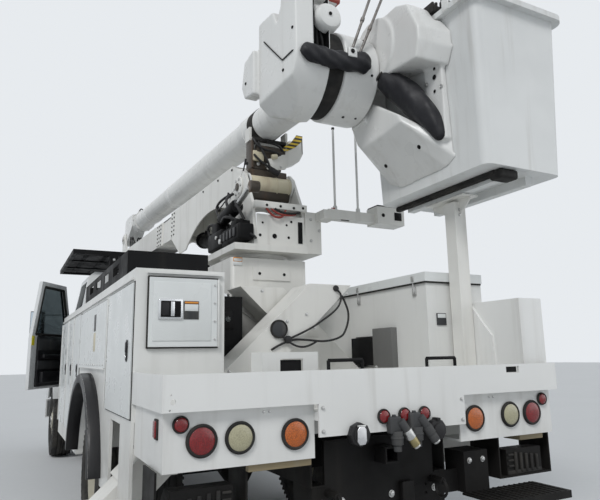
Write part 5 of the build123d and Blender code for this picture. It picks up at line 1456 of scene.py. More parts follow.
@dataclass
class TurretWork(Assembly):
    """Pivot tube, cradle arm, valve stack, hoses, bolts and rest arm round the turret."""

    pivot: tuple[float, float] = (1850.0, 2780.0)
    boom: tuple[float, float] = (-130.0, 270.0)

    def build_pivot(self) -> None:
        """The cream pivot tube at the boom's rear end with its collars, and a dark plate under it as painted shade."""
        x0, x1 = self.boom
        y, z = 1766.0, 2794.0
        part = Form("pivot_tube", Finish.CREAM)
        part.bar((x0 + 2, y, z), (x1 - 2, y, z), 78, 48, 3)
        for x in (x0 + 8, 132.0, x1 - 30):
            part.lathe([(-5, 76), (-5, 82), (5, 82), (5, 76)], (x, y, z), Axis.X, 48)
        part.use(Finish.GEL).lathe([(-6, 60), (-6, 92), (6, 92), (6, 60)], (x1 - 8, y, z), Axis.X, 48)
        part.lathe([(-6, 60), (-6, 92), (6, 92), (6, 60)], (x0 + 8, y, z), Axis.X, 48)
        # Greasy-iron plate under the tube: painted shade beneath it.
        part.use(Finish.GREASE).plate([(1716, 2740), (1741, 2668), (1775, 2662), (1760, 2745)], Axis.X,
                                      x0 + 14, x1 - 14, 6)
        part.box((x0 + 20, 1768, 2868), (x1 - 20, 1812, 2936), 8)
        part.done("lower_boom", "white_paint")
        caps = Form("pivot_pin_caps", Finish.STEEL)
        for x, s in ((-161, -1), (301, 1)):
            caps.bar((x, *self.pivot), (x + s * 14, *self.pivot), 92, 48, 4)
            for i in range(6):
                a = math.tau * i / 6
                caps.use(Finish.STEEL_BARE).bolt((x + s * 14, self.pivot[0] + 68 * math.cos(a),
                                                  self.pivot[1] + 68 * math.sin(a)), (s, 0, 0), 10)
            caps.use(Finish.GREASE).bar((x + s * 14, *self.pivot), (x + s * 24, *self.pivot), 34, 32, 4)
            caps.use(Finish.STEEL)
        caps.done("turret", "white_paint")

    def build_cradle(self) -> None:
        """The cradle's tall right arm with hazard bands, and the greasy rollers in it."""
        arm = [(60, 2950), (96, 2938), (238, 2968), (262, 3014), (372, 3058), (410, 3130), (408, 3298), (345, 3300),
               (318, 3222), (286, 3160), (220, 3106), (150, 3062), (70, 3040)]
        part = Form("cradle_arm", Finish.STEEL)
        part.plate(arm, Axis.Y, 1762, 1778, 4).plate(arm, Axis.Y, 1902, 1918, 4)
        part.plate([(395, 3130), (411, 3130), (409, 3298), (393, 3298)], Axis.Y, 1762, 1918, 3)
        part.plate([(262, 3014), (372, 3058), (411, 3130), (398, 3136), (362, 3070), (258, 3028)],
                   Axis.Y, 1776, 1904, 3)
        part.use(Finish.HAZARD).plate([(345, 3299), (408, 3297), (392, 3240), (330, 3180), (232, 3126),
                                       (196, 3150), (290, 3220)], Axis.Y, 1756, 1764, 2)
        part.plate([(345, 3299), (408, 3297), (392, 3240), (330, 3180), (232, 3126), (196, 3150), (290, 3220)],
                   Axis.Y, 1916, 1924, 2)
        part.use(Finish.GREASE).bar((-30, 1800, 3120), (236, 1800, 3120), 44, 32, 6)
        part.bar((-40, 1880, 3060), (232, 1880, 3060), 52, 32, 6).box((-76, 1776, 2948), (-50, 1906, 3200), 6)
        part.box((-60, 1790, 2944), (210, 1898, 3010), 10).box((40, 1770, 3008), (120, 1900, 3150), 12)
        part.use(Finish.CREAM).bar((100, 1756, 3058), (152, 1756, 3070), 22, 24, 5)
        part.box((-66, 1766, 3010), (36, 1796, 3104), 9)
        part.use(Finish.RUBBER).box((-60, 1790, 3200), (262, 1910, 3232), 8)
        for x in (-20, 60, 190):
            part.use(Finish.STEEL_BARE).bolt((x, 1766, 2980), (0, -1, 0), 12, 8)
        part.done("lower_boom", "cast_metal")
        lines = Form("cradle_hoses", Finish.HOSE)
        for points, r in ((((-60, 1770, 3200), (-40, 1746, 3140), (30, 1736, 3104), (120, 1746, 3110), (190, 1764, 3090)), 10),
                          (((-20, 1762, 3180), (16, 1734, 3070), (60, 1726, 2990), (76, 1724, 2930)), 10),
                          (((60, 1762, 3190), (140, 1740, 3176), (206, 1752, 3140), (232, 1772, 3100)), 10),
                          (((-60, 1760, 3060), (-20, 1734, 3000), (40, 1722, 2966), (90, 1718, 2916)), 10)):
            lines.pipe(points, r, 12)
        lines.bar((60, 1716, 2934), (146, 1710, 2892), 27, 24, 8)
        taps = ((1729, 2958), (1861, 2812), (2142, 2776), (2409, 2716))
        for y, z in taps:
            lines.bar((-129, y, z), (-160, y, z), 13, 16, 4).bar((-154, y + 6, z - 14), (-154, y - 14, z + 34), 9, 12, 2)
        for (ya, za), (yb, zb) in zip(taps, taps[1:]):
            lines.pipe([(-154, ya, za), (-158, (ya + yb) / 2, (za + zb) / 2 - 26), (-154, yb, zb)], 6, 8)
        lines.done("lower_boom", "black_plastic")

    def build_stack(self) -> None:
        """The black cylinder and the valve stack on the turret's left."""
        part = Form("turret_valves", Finish.BLACK)
        part.bar((-252, 1660, 2560), (-252, 1990, 2520), 56, 32, 6)
        part.box((-300, 1500, 2262), (-168, 1900, 2392), 18, 3).box((-304, 1890, 2268), (-166, 2240, 2420), 14, 3)
        part.box((-296, 1560, 2380), (-176, 1690, 2430), 10).box((-300, 2010, 2410), (-180, 2150, 2500), 10)
        for i in range(5):
            y = 1560 + i * 76
            part.use(Finish.BLACK_GLOSS).box((-310, y, 2296), (-298, y + 50, 2366), 5)
            part.use(Finish.BLACK).bar((-240, y + 26, 2390), (-240, y + 26, 2440), 17, 20, 4)
        part.use(Finish.STEEL_BARE).bar((-250, 1400, 2640), (-252, 1662, 2560), 24, 24, 3)
        part.bar((-290, 1900, 2310), (-318, 1900, 2310), 22, 20, 4).bar((-290, 2000, 2360), (-316, 2000, 2360), 16, 20, 3)
        part.use(Finish.GREASE).bar((-256, 1386, 2650), (-180, 1386, 2650), 46, 28, 6)
        part.done("turret", "cast_metal")
        lines = Form("turret_hoses", Finish.HOSE)
        for points, r in ((((-250, 1980, 2520), (-262, 2080, 2560), (-262, 2160, 2660), (-240, 2080, 2720), (-200, 1960, 2740)), 11),
                          (((-262, 1700, 2420), (-290, 1760, 2560), (-280, 1850, 2650), (-240, 1900, 2700), (-185, 1930, 2740)), 12),
                          (((-230, 1560, 2430), (-280, 1580, 2540), (-260, 1700, 2620), (-200, 1800, 2640)), 13),
                          (((-230, 1640, 2430), (-312, 1740, 2500), (-300, 1900, 2480), (-250, 2040, 2500)), 13),
                          (((-240, 2100, 2490), (-300, 2240, 2540), (-280, 2300, 2450), (-262, 2230, 2380)), 12),
                          (((-200, 1510, 2310), (-196, 1486, 2296), (-166, 1492, 2284), (-146, 1530, 2284)), 10)):
            lines.pipe(points, r, 12)
        lines.use(Finish.RED_HOSE)
        lines.pipe([(-60, 1516, 2530), (-30, 1500, 2480), (20, 1494, 2452), (90, 1500, 2470), (110, 1514, 2530)], 9)
        lines.pipe([(-20, 1514, 2530), (20, 1498, 2490), (90, 1492, 2478), (160, 1500, 2486), (200, 1514, 2500)], 8)
        lines.use(Finish.HOSE)
        lines.pipe([(10, 1508, 2530), (60, 1494, 2500), (130, 1490, 2494), (210, 1500, 2510), (240, 1514, 2520)], 10)
        lines.done("turret", "black_plastic")

    def build_shelf(self) -> None:
        """The turret's rear lip, back plate fittings, a black strip as painted shade in the slot, and base bolts."""
        part = Form("turret_lip", Finish.STEEL)
        part.box((-160, 1500, 2528), (300, 1620, 2584), 5, 3)
        part.use(Finish.BLACK)
        for x, z, r in ((-90, 2409, 9), (-112, 2307, 12), (13, 2307, 20), (137, 2304, 11), (120, 2405, 9), (162, 2436, 10)):
            part.lathe([(0, 0), (0, r * 0.7), (-3, r), (-5, r * 0.8), (-5, 0)], (x, 1521, z), Axis.Y, 24)
        # Black strip on the back plate: painted shade of the slot.
        part.box((222, 1514, 2262), (262, 1521, 2440), 3)
        for x, z in ((-60, 2550), (60, 2552), (178, 2548), (262, 2556)):
            part.bolt((x, 1500, z), (0, -1, 0), 8, 5)
        part.use(Finish.STEEL_BARE)
        for x, z in ((352, 2300), (352, 2480), (430, 2390)):
            part.bolt((x, 1540, z), (0, -1, 0), 10, 6)
        for i in range(24):
            a = math.tau * i / 24
            part.bolt((245 * math.cos(a) * 1.05, 1915 + 245 * math.sin(a) * 1.05, 2259), (0, 0, 1), 11, 8)
        part.done("turret", "white_paint")
        rest = Form("rest_arm_fittings", Finish.GEL)
        for x in (532, 757):
            rest.bar((x, 1440, 2549), (x, 1440, 3268), 10, 20, 3).bar((x, 1440, 2548), (x, 1440, 2590), 18, 24, 4)
        rest.use(Finish.RUBBER).bar((532, 1440, 3262), (532, 1440, 3282), 13, 20, 4)
        rest.bar((757, 1440, 3262), (757, 1440, 3282), 13, 20, 4)
        rest.box((905, 1364, 2606), (1176, 1516, 2624), 5)
        rest.use(Finish.RED).box((470, 1392, 2553), (506, 1404, 2560), 2)
        rest.use(Finish.BLACK)
        for x in (960, 1120):
            rest.bolt((x, 1360, 2535), (0, -1, 0), 12, 8)
        rest.box((1076, 1354, 2500), (1150, 1362, 2570), 4).box((560, 1396, 2460), (640, 1402, 2468), 2)
        rest.done("turret", "white_paint")

    def build(self) -> None:
        """Makes everything on and round the turret."""
        self.build_pivot()
        self.build_cradle()
        self.build_stack()
        self.build_shelf()


@dataclass
class Booms(Assembly):
    """Bolt rows, bands, elbow pin, hoses and cylinder glands on both booms."""

    rise: float = 1.8
    fall: float = 2.85
    middle: float = 70.0
    pivot: tuple[float, float] = (1850.0, 2780.0)
    elbow: tuple[float, float] = (5900.0, 485.0)

    def lower(self) -> Matrix:
        """The lower boom's place: from its own frame to the truck."""
        return Matrix.Translation((self.middle, *self.pivot)) @ Matrix.Rotation(math.radians(self.rise), 4, "X")

    def upper(self) -> Matrix:
        """The upper boom's place: from its own frame, which runs to the rear, to the truck."""
        pin = self.lower() @ Vector((0, *self.elbow))
        return Matrix.Translation((self.middle + 30, pin.y, pin.z)) @ Matrix.Rotation(math.radians(self.fall), 4, "X")

    def build_lower(self) -> None:
        """Bolts at the insulating insert, stiffeners, hose clips and elbow gear on the lower boom."""
        part = Form("lower_boom_fittings", Finish.BLACK)
        for s in (-1, 1):
            for y in (2230, 2325):
                for i in range(6):
                    part.bolt((s * 200, y, -28 + i * 52), (s, 0, 0), 9, 6)
            for y in (3040, 3130, 3220):
                for i in range(6):
                    part.bolt((s * 165, y, -28 + i * 52), (s, 0, 0), 9, 6)
            for y in (260, 640, 1100):
                part.bolt((s * 200, y, 226), (s, 0, 0), 9, 6)
        part.use(Finish.STEEL)
        for s in (-1, 1):
            x0, x1 = sorted((s * 199, s * 208))
            part.plate([(-120, 10), (-90, -90), (60, -120), (150, -20), (150, 200), (-10, 160)], Axis.X, x0, x1, 3)
        part.box((-206, 2290, -50), (206, 2372, -42), 3).box((-172, 2990, -50), (172, 3260, -42), 3)
        part.use(Finish.HOSE)
        for k, x in enumerate((-128, -104, 110)):
            part.pipe([(x, 300, 268), (x, 900, 271), (x, 2200, 269), (x, 3300, 271), (x, 5100, 270), (x, 5400, 290)],
                      9 - k, 10)
        part.use(Finish.STEEL_BARE)
        for y in (500, 1200, 1900, 3500, 4300, 5000):
            part.box((-146, y, 256), (-86, y + 26, 282), 4).box((96, y, 256), (124, y + 26, 280), 4)
        part.done("lower_boom", "black_plastic", turn=self.lower())
        gear = Form("elbow_pin_caps", Finish.STEEL)
        y, z = self.elbow
        for s in (-1, 1):
            gear.use(Finish.STEEL).bar((s * 150, y, z), (s * 164, y, z), 76, 40, 4)
            gear.use(Finish.GREASE).bar((s * 164, y, z), (s * 172, y, z), 34, 28, 3).use(Finish.STEEL_BARE)
            for i in range(6):
                a = math.tau * i / 6
                gear.bolt((s * 164, y + 56 * math.cos(a), z + 56 * math.sin(a)), (s, 0, 0), 9)
        gear.use(Finish.HOSE)
        for k, x in enumerate((-90, -60, 40, 80)):
            gear.pipe([(x, 5080, 268), (x, 5280, 300 + 12 * k), (x, 5440, 420), (x, 5560, 500), (x * 0.9, 5640, 470),
                       (x, 5600, 380), (x, 5500, 300), (x, 5380, 262)], 12, 10)
        gear.done("lower_boom", "cast_metal", turn=self.lower())

    def build_upper(self) -> None:
        """Bands, screws and the rub pad on the upper boom."""
        part = Form("upper_boom_bands", Finish.GEL)
        up = 234
        for y, r in ((-1500, 157), (-2900, 156), (-5600, 158)):
            part.lathe([(-60, 149), (-56, r), (56, r), (60, 149)], (0, y, up), Axis.Y, 64)
        part.use(Finish.RUBBER).lathe([(-62, 149.5), (-60, 154), (60, 154), (62, 149.5)], (0, -5840, up), Axis.Y, 64)
        part.use(Finish.STEEL_BARE)
        for i in range(12):
            a = math.tau * i / 12
            for y in (-820, -760):
                part.bolt((172 * math.sin(a), y, up + 172 * math.cos(a)), (math.sin(a), 0, math.cos(a)), 9, 6)
        part.use(Finish.HOSE)
        for x in (-70, 70):
            part.pipe([(x, -600, 380), (x, -740, 420), (x, -880, 424), (x, -1000, 372)], 11, 10)
        part.done("upper_boom", "fibreglass", turn=self.upper())

    def build_cylinder(self) -> None:
        """Gland, ports, weld rings and hoses of the lift cylinder."""
        (ya, za), (yb, zb) = (2270.0, 2380.0), (3653.8, 2686.6)
        turn = Matrix.Translation((self.middle, ya, za)) @ Matrix.Rotation(math.atan2(zb - za, yb - ya), 4, "X")
        length = math.hypot(yb - ya, zb - za)
        part = Form("lift_cylinder_gland", Finish.BLACK)
        part.lathe([(-38, 48), (-38, 90), (-30, 92), (6, 92), (10, 86), (10, 48)], (0, length - 130, 0), Axis.Y, 48)
        part.lathe([(-8, 79), (-8, 86), (8, 86), (8, 79)], (0, 70, 0), Axis.Y, 48)
        part.box((-22, 110, 76), (22, 170, 112), 6).box((-22, length - 260, 76), (22, length - 200, 112), 6)
        part.use(Finish.STEEL_BARE).bar((0, 140, 108), (0, 140, 132), 14, 20, 3)
        part.bar((0, length - 230, 108), (0, length - 230, 132), 14, 20, 3)
        part.pipe([(0, 140, 128), (0, 180, 138), (0, 500, 104), (0, length - 380, 104), (0, length - 270, 136),
                   (0, length - 232, 128)], 8, 10)
        part.done("lift_barrel", "cast_metal", turn=turn)

    def build(self) -> None:
        """Makes the booms' details."""
        self.build_lower()
        self.build_upper()
        self.build_cylinder()


@dataclass
class Stands(Assembly):
    """Hoses, caps, bolts and plates on the pedestal, the crossed stands and the bucket's post."""

    def build(self) -> None:
        """Makes the stands' details."""
        hoses = Form("stand_hoses", Finish.HOSE)
        hoses.pipe([(240, 975, 1836), (262, 962, 1812), (276, 960, 1770), (240, 962, 1690), (110, 960, 1606),
                    (0, 962, 1540), (-150, 968, 1480)], 7, 12)
        hoses.pipe([(280, 966, 1786), (322, 958, 1700), (326, 958, 1620), (300, 958, 1545), (262, 958, 1492),
                    (130, 960, 1462), (0, 962, 1476), (-150, 968, 1482), (-270, 974, 1412)], 7.5, 12)
        hoses.pipe([(-190, 966, 1500), (-140, 950, 1450), (-60, 950, 1424), (20, 962, 1440), (70, 972, 1466)], 7, 12)
        hoses.bar((238, 968, 1838), (238, 982, 1838), 22, 20, 4).bar((-150, 950, 1478), (-150, 982, 1478), 26, 20, 5)
        hoses.use(Finish.GREY).bar((-214, 966, 1548), (-214, 981, 1548), 52, 36, 4)
        hoses.use(Finish.RUBBER).lathe([(-4, 50), (-10, 54), (-10, 62), (4, 62), (4, 50)], (-214, 974, 1548), Axis.Y, 36)
        hoses.use(Finish.STEEL_BARE)
        for x, z in ((-330, 1800), (330, 1800), (0, 1650), (-560, 1280), (560, 1280), (-150, 1600), (60, 1560)):
            hoses.bolt((x, 980, z), (0, -1, 0), 9, 6)
        hoses.done("chassis", "black_plastic")
        plates = Form("pedestal_plates", Finish.BLACK)
        for x in (-95, 118):
            plates.lathe([(1, 0), (1, 12), (-2, 12), (-2, 0)], (x, 1571, 2010), Axis.Y, 24)
        plates.use(Finish.ORANGE).box((-312, 1573, 2094), (-240, 1580, 2128), 2).use(Finish.DOORS).box((-312, 1573, 2066), (-240, 1580, 2094), 2)
        plates.box((-308, 1571, 2098), (-244, 1575, 2120), 1)
        plates.use(Finish.STEEL_BARE)
        for s in (-1, 1):
            for y in (1600, 1760, 1920, 2080, 2240):
                plates.bolt((s * 345, y, 1125), (0, 0, 1), 13, 9)
        for i in range(20):
            a = math.tau * i / 20
            plates.bolt((305 * math.cos(a) * 0.98, 1915 + 305 * math.sin(a) * 0.98, 2130), (0, 0, 1), 10, 7)
        plates.use(Finish.BLACK)
        # The second black box is the bracket's dark opening: painted shade.
        plates.box((-664, 206, 1106), (-356, 212, 1110), 1).box((-568, 212, 1112), (-442, 340, 1350), 6)
        plates.done("chassis", "white_paint")
        tank = Form("oil_tank_fittings", Finish.CHROME)
        tank.bar((-435, 1430, 1789), (-435, 1430, 1822), 36, 28, 4)
        tank.use(Finish.BLACK).box((-505, 1283, 1560), (-420, 1291, 1700), 4)
        tank.use(Finish.GLASS).bar((-462, 1284, 1630), (-462, 1278, 1630), 20, 24, 2)
        tank.done("chassis", "cast_metal")
        post = Form("post_fittings", Finish.STEEL_BARE)
        for z in (2342, 2380):
            post.bolt((944, 440, z - 20), (0, -1, 0), 9, 6)
        post.pipe([(1056, 555, 1700), (1058, 555, 1760), (1078, 555, 1930), (1100, 555, 2080), (1096, 552, 2106)], 7, 10)
        post.use(Finish.RUBBER).box((886, 335, 2436), (1014, 712, 2446), 3)
        post.done("chassis", "white_paint")


# ---------------------------------------------------------------- wheels

@dataclass
class Wheels(Assembly):
    """Ribbed road tyres in place of the plain ones, and nuts, hubs and valves on the rims."""

    radius: float = 500.0
    width: float = 280.0
    bead: float = 286.0
    height: float = 500.0
    front: tuple[float, float] = (1020.0, 6920.0)
    rear: tuple[float, float, float] = (1060.0, 720.0, 2330.0)

    def tyre(self, part: Form, x: float, y: float) -> None:
        """One tyre with four grooves, a bulged wall, moulded rings and shoulder lugs.

        Args:
            part: The piece it is added to.
            x: Its middle across the truck.
            y: Its axle's place along the truck.
        """
        r, w, b = self.radius, self.width / 2, self.bead
        half = [(0, r), (8, r), (12, r - 12), (20, r - 12), (24, r), (60, r - 1), (64, r - 13), (72, r - 13),
                (76, r - 1), (104, r - 5), (114, r - 12), (124, r - 34), (133, r - 62), (139, r - 96),
                (w, r - 118), (w - 1, r - 122), (w - 3, r - 126), (137, r - 150), (128, r - 184), (118, b + 12),
                (104, b + 1), (84, b)]
        profile = [(-a, c) for a, c in reversed(half[1:])] + half
        part.lathe(profile, (x, y, self.height), Axis.X, 96)
        for i in range(60):
            a = math.tau * i / 60
            turn = (Matrix.Translation((x, y, self.height)) @ Matrix.Rotation(a, 4, "X"))
            for s in (-1, 1):
                low, high = sorted((s * 108.0, s * 130.0))
                part.box((low, -9, r - 40), (high, 9, r - 12), 0, 1, turn)

    def rings(self, part: Form, s: int, x: float, y: float, circle: float, count: int) -> None:
        """A circle of wheel nuts on their studs.

        Args:
            part: The piece they are added to.
            s: Sign of the side that they face.
            x: Where the disc's face lies.
            y: The axle's place along the truck.
            circle: Radius of the circle.
            count: How many nuts.
        """
        for i in range(count):
            a = math.tau * (i + 0.5) / count
            c = (s * x, y + circle * math.cos(a), self.height + circle * math.sin(a))
            part.use(Finish.STEEL_BARE).bar(c, (c[0] + s * 22, c[1], c[2]), 17, 6, 2)
            part.bar((c[0] + s * 20, c[1], c[2]), (c[0] + s * 34, c[1], c[2]), 10, 12, 1)

    def build(self) -> None:
        """Makes both front and both rear sets."""
        for side in Side:
            s, word = side.value, side.word
            fx, fy = self.front
            front = Form(f"road_tyre_front_{word}", Finish.TYRE)
            self.tyre(front, s * fx, fy)
            front.done(f"wheel_front_{word}", "tyre_rubber", (f"tyre_front_{word}",))
            hub = Form(f"front_hub_{word}", Finish.RIM)
            face = fx + 82
            self.rings(hub, s, face, fy, 150, 10)
            hub.use(Finish.STEEL_BARE).bar((s * (face + 46), fy, self.height), (s * (face + 62), fy, self.height), 62, 36, 5)
            hub.use(Finish.BLACK).bar((s * (face + 60), fy, self.height), (s * (face + 72), fy, self.height), 40, 32, 4)
            hub.done(f"wheel_front_{word}", "cast_metal")
            outer, inner, ry = self.rear
            rear = Form(f"road_tyres_rear_{word}", Finish.TYRE)
            self.tyre(rear, s * outer, ry)
            self.tyre(rear, s * inner, ry)
            rear.done(f"wheels_rear_{word}", "tyre_rubber", (f"tyres_rear_{word}",))
            mid = (outer + inner) / 2
            hub = Form(f"rear_hub_{word}", Finish.RIM)
            self.rings(hub, s, mid + 12, ry, 150, 10)
            for i in range(8):
                a = math.tau * i / 8
                hub.use(Finish.STEEL_BARE).bolt((s * (outer + 20), ry + 62 * math.cos(a), self.height + 62 * math.sin(a)),
                                                (s, 0, 0), 9, 8)
            hub.use(Finish.GREASE).bar((s * (outer + 19), ry, self.height), (s * (outer + 32), ry, self.height), 40, 32, 6)
            hub.use(Finish.BRASS).bar((s * (mid + 60), ry + 215, self.height + 60), (s * (mid + 96), ry + 222, self.height + 62), 5, 12, 1)
            hub.done(f"wheels_rear_{word}", "cast_metal")


# ---------------------------------------------------------------- cab

@dataclass
class Cab(Assembly):
    """Seals, trim, mirrors, lamps, wipers and slats on the cab, its doors and the guard over it."""

    half: float = 1040.0
    belt: float = 1650.0
    inside: float = 995.0
    lean: float = 8.03
    hinge: tuple[float, float] = (1043.0, 6294.0)
    opened: float = 33.0
    window: tuple[tuple[float, float], ...] = ((5376, 1700), (6196, 1700), (5847, 2300), (5376, 2300))

    def swing(self, side: Side) -> Matrix:
        """A door's place, where the left one stands open."""
        if side is Side.RIGHT:
            return Matrix.Identity(4)
        pin = Matrix.Translation((-self.hinge[0], self.hinge[1], 0))
        return pin @ Matrix.Rotation(math.radians(-self.opened), 4, "Z") @ pin.inverted()

    def skin(self, side: Side, z: float, depth: float = 0.0) -> float:
        """The door skin's X at one height.

        Args:
            side: Which door.
            z: Height.
            depth: Distance inwards from the outside face.

        Returns:
            The X of the surface.
        """
        return side.value * (self.half - max(0.0, z - self.belt) * math.tan(math.radians(self.lean)) - depth)

    def build_door(self, side: Side) -> None:
        """Window seals, inner trim, handles and mirror faces of one door.

        Args:
            side: Which door.
        """
        s = side.value
        part = Form(f"cab_door_fittings_{side.word}", Finish.RUBBER)
        loop = self.window + self.window[:1]
        for depth, radius in ((0.0, 10), (42.0, 15)):
            for (ya, za), (yb, zb) in zip(loop, loop[1:]):
                part.bar((self.skin(side, za, depth), ya, za), (self.skin(side, zb, depth), yb, zb), radius, 12, 3)
        x0, x1 = sorted((s * (self.inside - 26), s * (self.inside + 4)))
        part.use(Finish.BLACK_GLOSS).plate([(5420, 1046), (6268, 1046), (6268, 1636), (6196, 1684), (5420, 1684)],
                                           Axis.X, x0, x1, 10, 3)
        x0, x1 = sorted((s * (self.inside - 74), s * (self.inside - 22)))
        part.box((x0, 5500, 1395), (x1, 5960, 1450), 14, 3).box((x0, 5480, 1090), (x1, 6100, 1230), 12, 3)
        x0, x1 = sorted((s * (self.inside - 32), s * (self.inside - 24)))
        part.use(Finish.GREY).box((x0, 5420, 1500), (x1, 6180, 1640), 6).box((x0, 5420, 1260), (x1, 6180, 1370), 6)
        part.use(Finish.CHROME).bar((s * (self.inside - 34), 6060, 1560), (s * (self.inside - 70), 6000, 1552), 9, 16, 3)
        part.use(Finish.YELLOW).box((min(s * 994, s * 990), 5306, 1560), (max(s * 994, s * 990), 5366, 1680), 1)
        x0, x1 = sorted((s * 1038, s * 1045))
        part.use(Finish.BLACK_GLOSS).box((x0, 5340, 1520), (x1, 5500, 1600), 6)
        part.bar((s * 1050, 5356, 1580), (s * 1050, 5484, 1580), 11, 16, 5)
        part.use(Finish.STEEL_BARE).bar((s * 1043, 5376, 1490), (s * 1047, 5376, 1490), 13, 20, 2)
        for low, high in (((1368, 6148, 1718), (1544, 6218, 2062)), ((1368, 6148, 1478), (1544, 6218, 1692))):
            x0, x1 = sorted((s * low[0], s * high[0]))
            part.use(Finish.BLACK_GLOSS).box((x0, 6152, low[2]), (x1, 6221, high[2]), 5, 2)
            part.use(Finish.MIRROR).box((x0 + 12, 6138, low[2] + 12), (x1 - 12, 6148, high[2] - 12), 4)
            part.use(Finish.RUBBER).box((x0 + 4, 6143, low[2] + 4), (x1 - 4, 6154, high[2] - 4), 4)
        part.done(f"cab_door_{side.word}", "black_plastic", turn=self.swing(side))

    def build_front(self) -> None:
        """Windscreen and rear window seals, wipers, roof lamps and grab rails."""
        part = Form("cab_front_fittings", Finish.RUBBER)

        def screen(x: float, z: float, out: float = 4.0) -> tuple[float, float, float]:
            """A point on the windscreen's plane."""
            return (x, 6420 - 0.59 * (z - self.belt) + out * 0.86, z + out * 0.51)

        corners = [(-900, 1712), (900, 1712), (800, 2358), (-800, 2358), (-900, 1712)]
        for (xa, za), (xb, zb) in zip(corners, corners[1:]):
            part.bar(screen(xa, za), screen(xb, zb), 16, 12, 4)
        rear = [(-620, 1800), (620, 1800), (600, 2280), (-600, 2280), (-620, 1800)]
        for (xa, za), (xb, zb) in zip(rear, rear[1:]):
            part.bar((xa, 5150 + (za - self.belt) * 0.051, za), (xb, 5150 + (zb - self.belt) * 0.051, zb), 14, 12, 4)
        part.use(Finish.BLACK)
        for x in (-560, 140):
            part.bar((x, 6424, 1662), (x, 6438, 1676), 20, 20, 5)
            part.bar(screen(x, 1672, 22), screen(x + 300, 1930, 20), 7, 12, 2)
            part.bar(screen(x + 130, 1760, 14), screen(x + 470, 2100, 14), 8, 8, 3)
        part.use(Finish.AMBER_LENS)
        for x in (-760, -180, 0, 180, 760):
            part.box((x - 52, 5872, 2466), (x + 52, 5918, 2502), 14, 3)
        part.use(Finish.STEEL_BARE)
        for s in (-1, 1):
            part.pipe([(s * 1040, 5222, 1420), (s * 1075, 5222, 1430), (s * 1082, 5222, 1700), (s * 1060, 5222, 1960),
                       (s * 1000, 5222, 1975)], 12, 12)
            part.use(Finish.RUBBER).box((s * 1040 - 4, 6340, 1180), (s * 1040 + 4, 6404, 1600), 3)
            part.use(Finish.STEEL_BARE)
        part.done("chassis", "black_plastic")

    def build_guard(self) -> None:
        """Close slats across the guard, its posts' gussets and bolts."""
        part = Form("guard_slats", Finish.BLACK)
        for i in range(25):
            y = 5110 + i * 76
            tip = Matrix.Translation((0, y + 26, 2722)) @ Matrix.Rotation(math.radians(24), 4, "X")
            part.box((-1116, -30, -3), (1116, 30, 3), 1, 1, tip)
        part.use(Finish.STEEL_BARE)
        for s in (-1, 1):
            for z in (2200, 2300, 2560, 2640):
                part.bolt((s * 650, 5060, z), (0, -1, 0), 12, 8)
        part.done("chassis", "black_steel")

    def build(self) -> None:
        """Makes the outside details."""
        for side in Side:
            self.build_door(side)
        self.build_front()
        self.build_guard()


@dataclass
class Nose(Assembly):
    """Lamps, grille back, latches and tow hooks in front, and steps and straps under the doors."""

    face: float = 8.6

    def build(self) -> None:
        """Makes the front lamps, the bumper's hooks and the tanks' straps."""
        lamps = Form("head_lamps", Finish.BLACK_GLOSS)
        for s in (-1, 1):
            at = Matrix.Translation((s * 860, 7759, 1000)) @ Matrix.Rotation(math.radians(self.face), 4, "X")
            lamps.use(Finish.BLACK_GLOSS).box((-290 if s < 0 else -150, -14, -100), (150 if s < 0 else 290, 8, 100), 18, 3, at)
            lamps.use(Finish.CHROME).box((-134, 2, -84), (134, 13, 84), 14, 3, at)
            lamps.use(Finish.CLEAR_LENS).box((-122, 6, -72), (122, 22, 72), 16, 3, at)
            x0, x1 = sorted((s * 160, s * 276))
            lamps.use(Finish.AMBER_LENS).box((x0, 2, -80), (x1, 18, 80), 14, 3, at)
        lamps.use(Finish.BLACK).box((-596, 7606, 1004), (596, 7616, 1356), 3)
        for i in range(22):
            lamps.box((-558 + i * 52, 7640, 1030), (-552 + i * 52, 7660, 1330), 1, 1)
        lamps.use(Finish.RUBBER)
        for s in (-1, 1):
            lamps.box((s * 1000 - 26, 6440, 1440), (s * 1000 - 14, 6530, 1500), 4)
        lamps.use(Finish.STEEL_BARE)
        for s in (-1, 1):
            for z in (1040, 1180):
                lamps.bolt((s * 1185, 6480, z), (s, 0, 0), 12, 8)
        lamps.done("hood", "black_plastic")
        hooks = Form("tow_hooks", Finish.BLACK)
        for x in (-430, 430):
            hooks.pipe([(x, 7838, 520), (x, 7854, 500), (x, 7852, 450), (x, 7806, 430), (x, 7756, 450), (x, 7754, 500)], 14, 12)
        hooks.box((-880, 7800, 446), (880, 7856, 484), 8)
        hooks.done("chassis", "black_steel")
        steps = Form("tank_straps", Finish.STEEL_BARE)
        ring = [(466, 586), (536, 516), (944, 516), (1014, 586), (1014, 834), (944, 904), (536, 904), (466, 834)]
        for y in (5440, 5960):
            steps.plate(ring, Axis.Y, y, y + 46, 12, 3)
        steps.use(Finish.CHROME).bar((780, 6090, 898), (780, 6090, 936), 52, 28, 6)
        steps.use(Finish.BLACK)
        for z in (586, 856):
            for i in range(18):
                steps.box((1012, 5330 + i * 48, z - 1), (1086, 5342 + i * 48, z + 5), 1, 1)
        steps.mirror().done("chassis", "aluminium_tank")


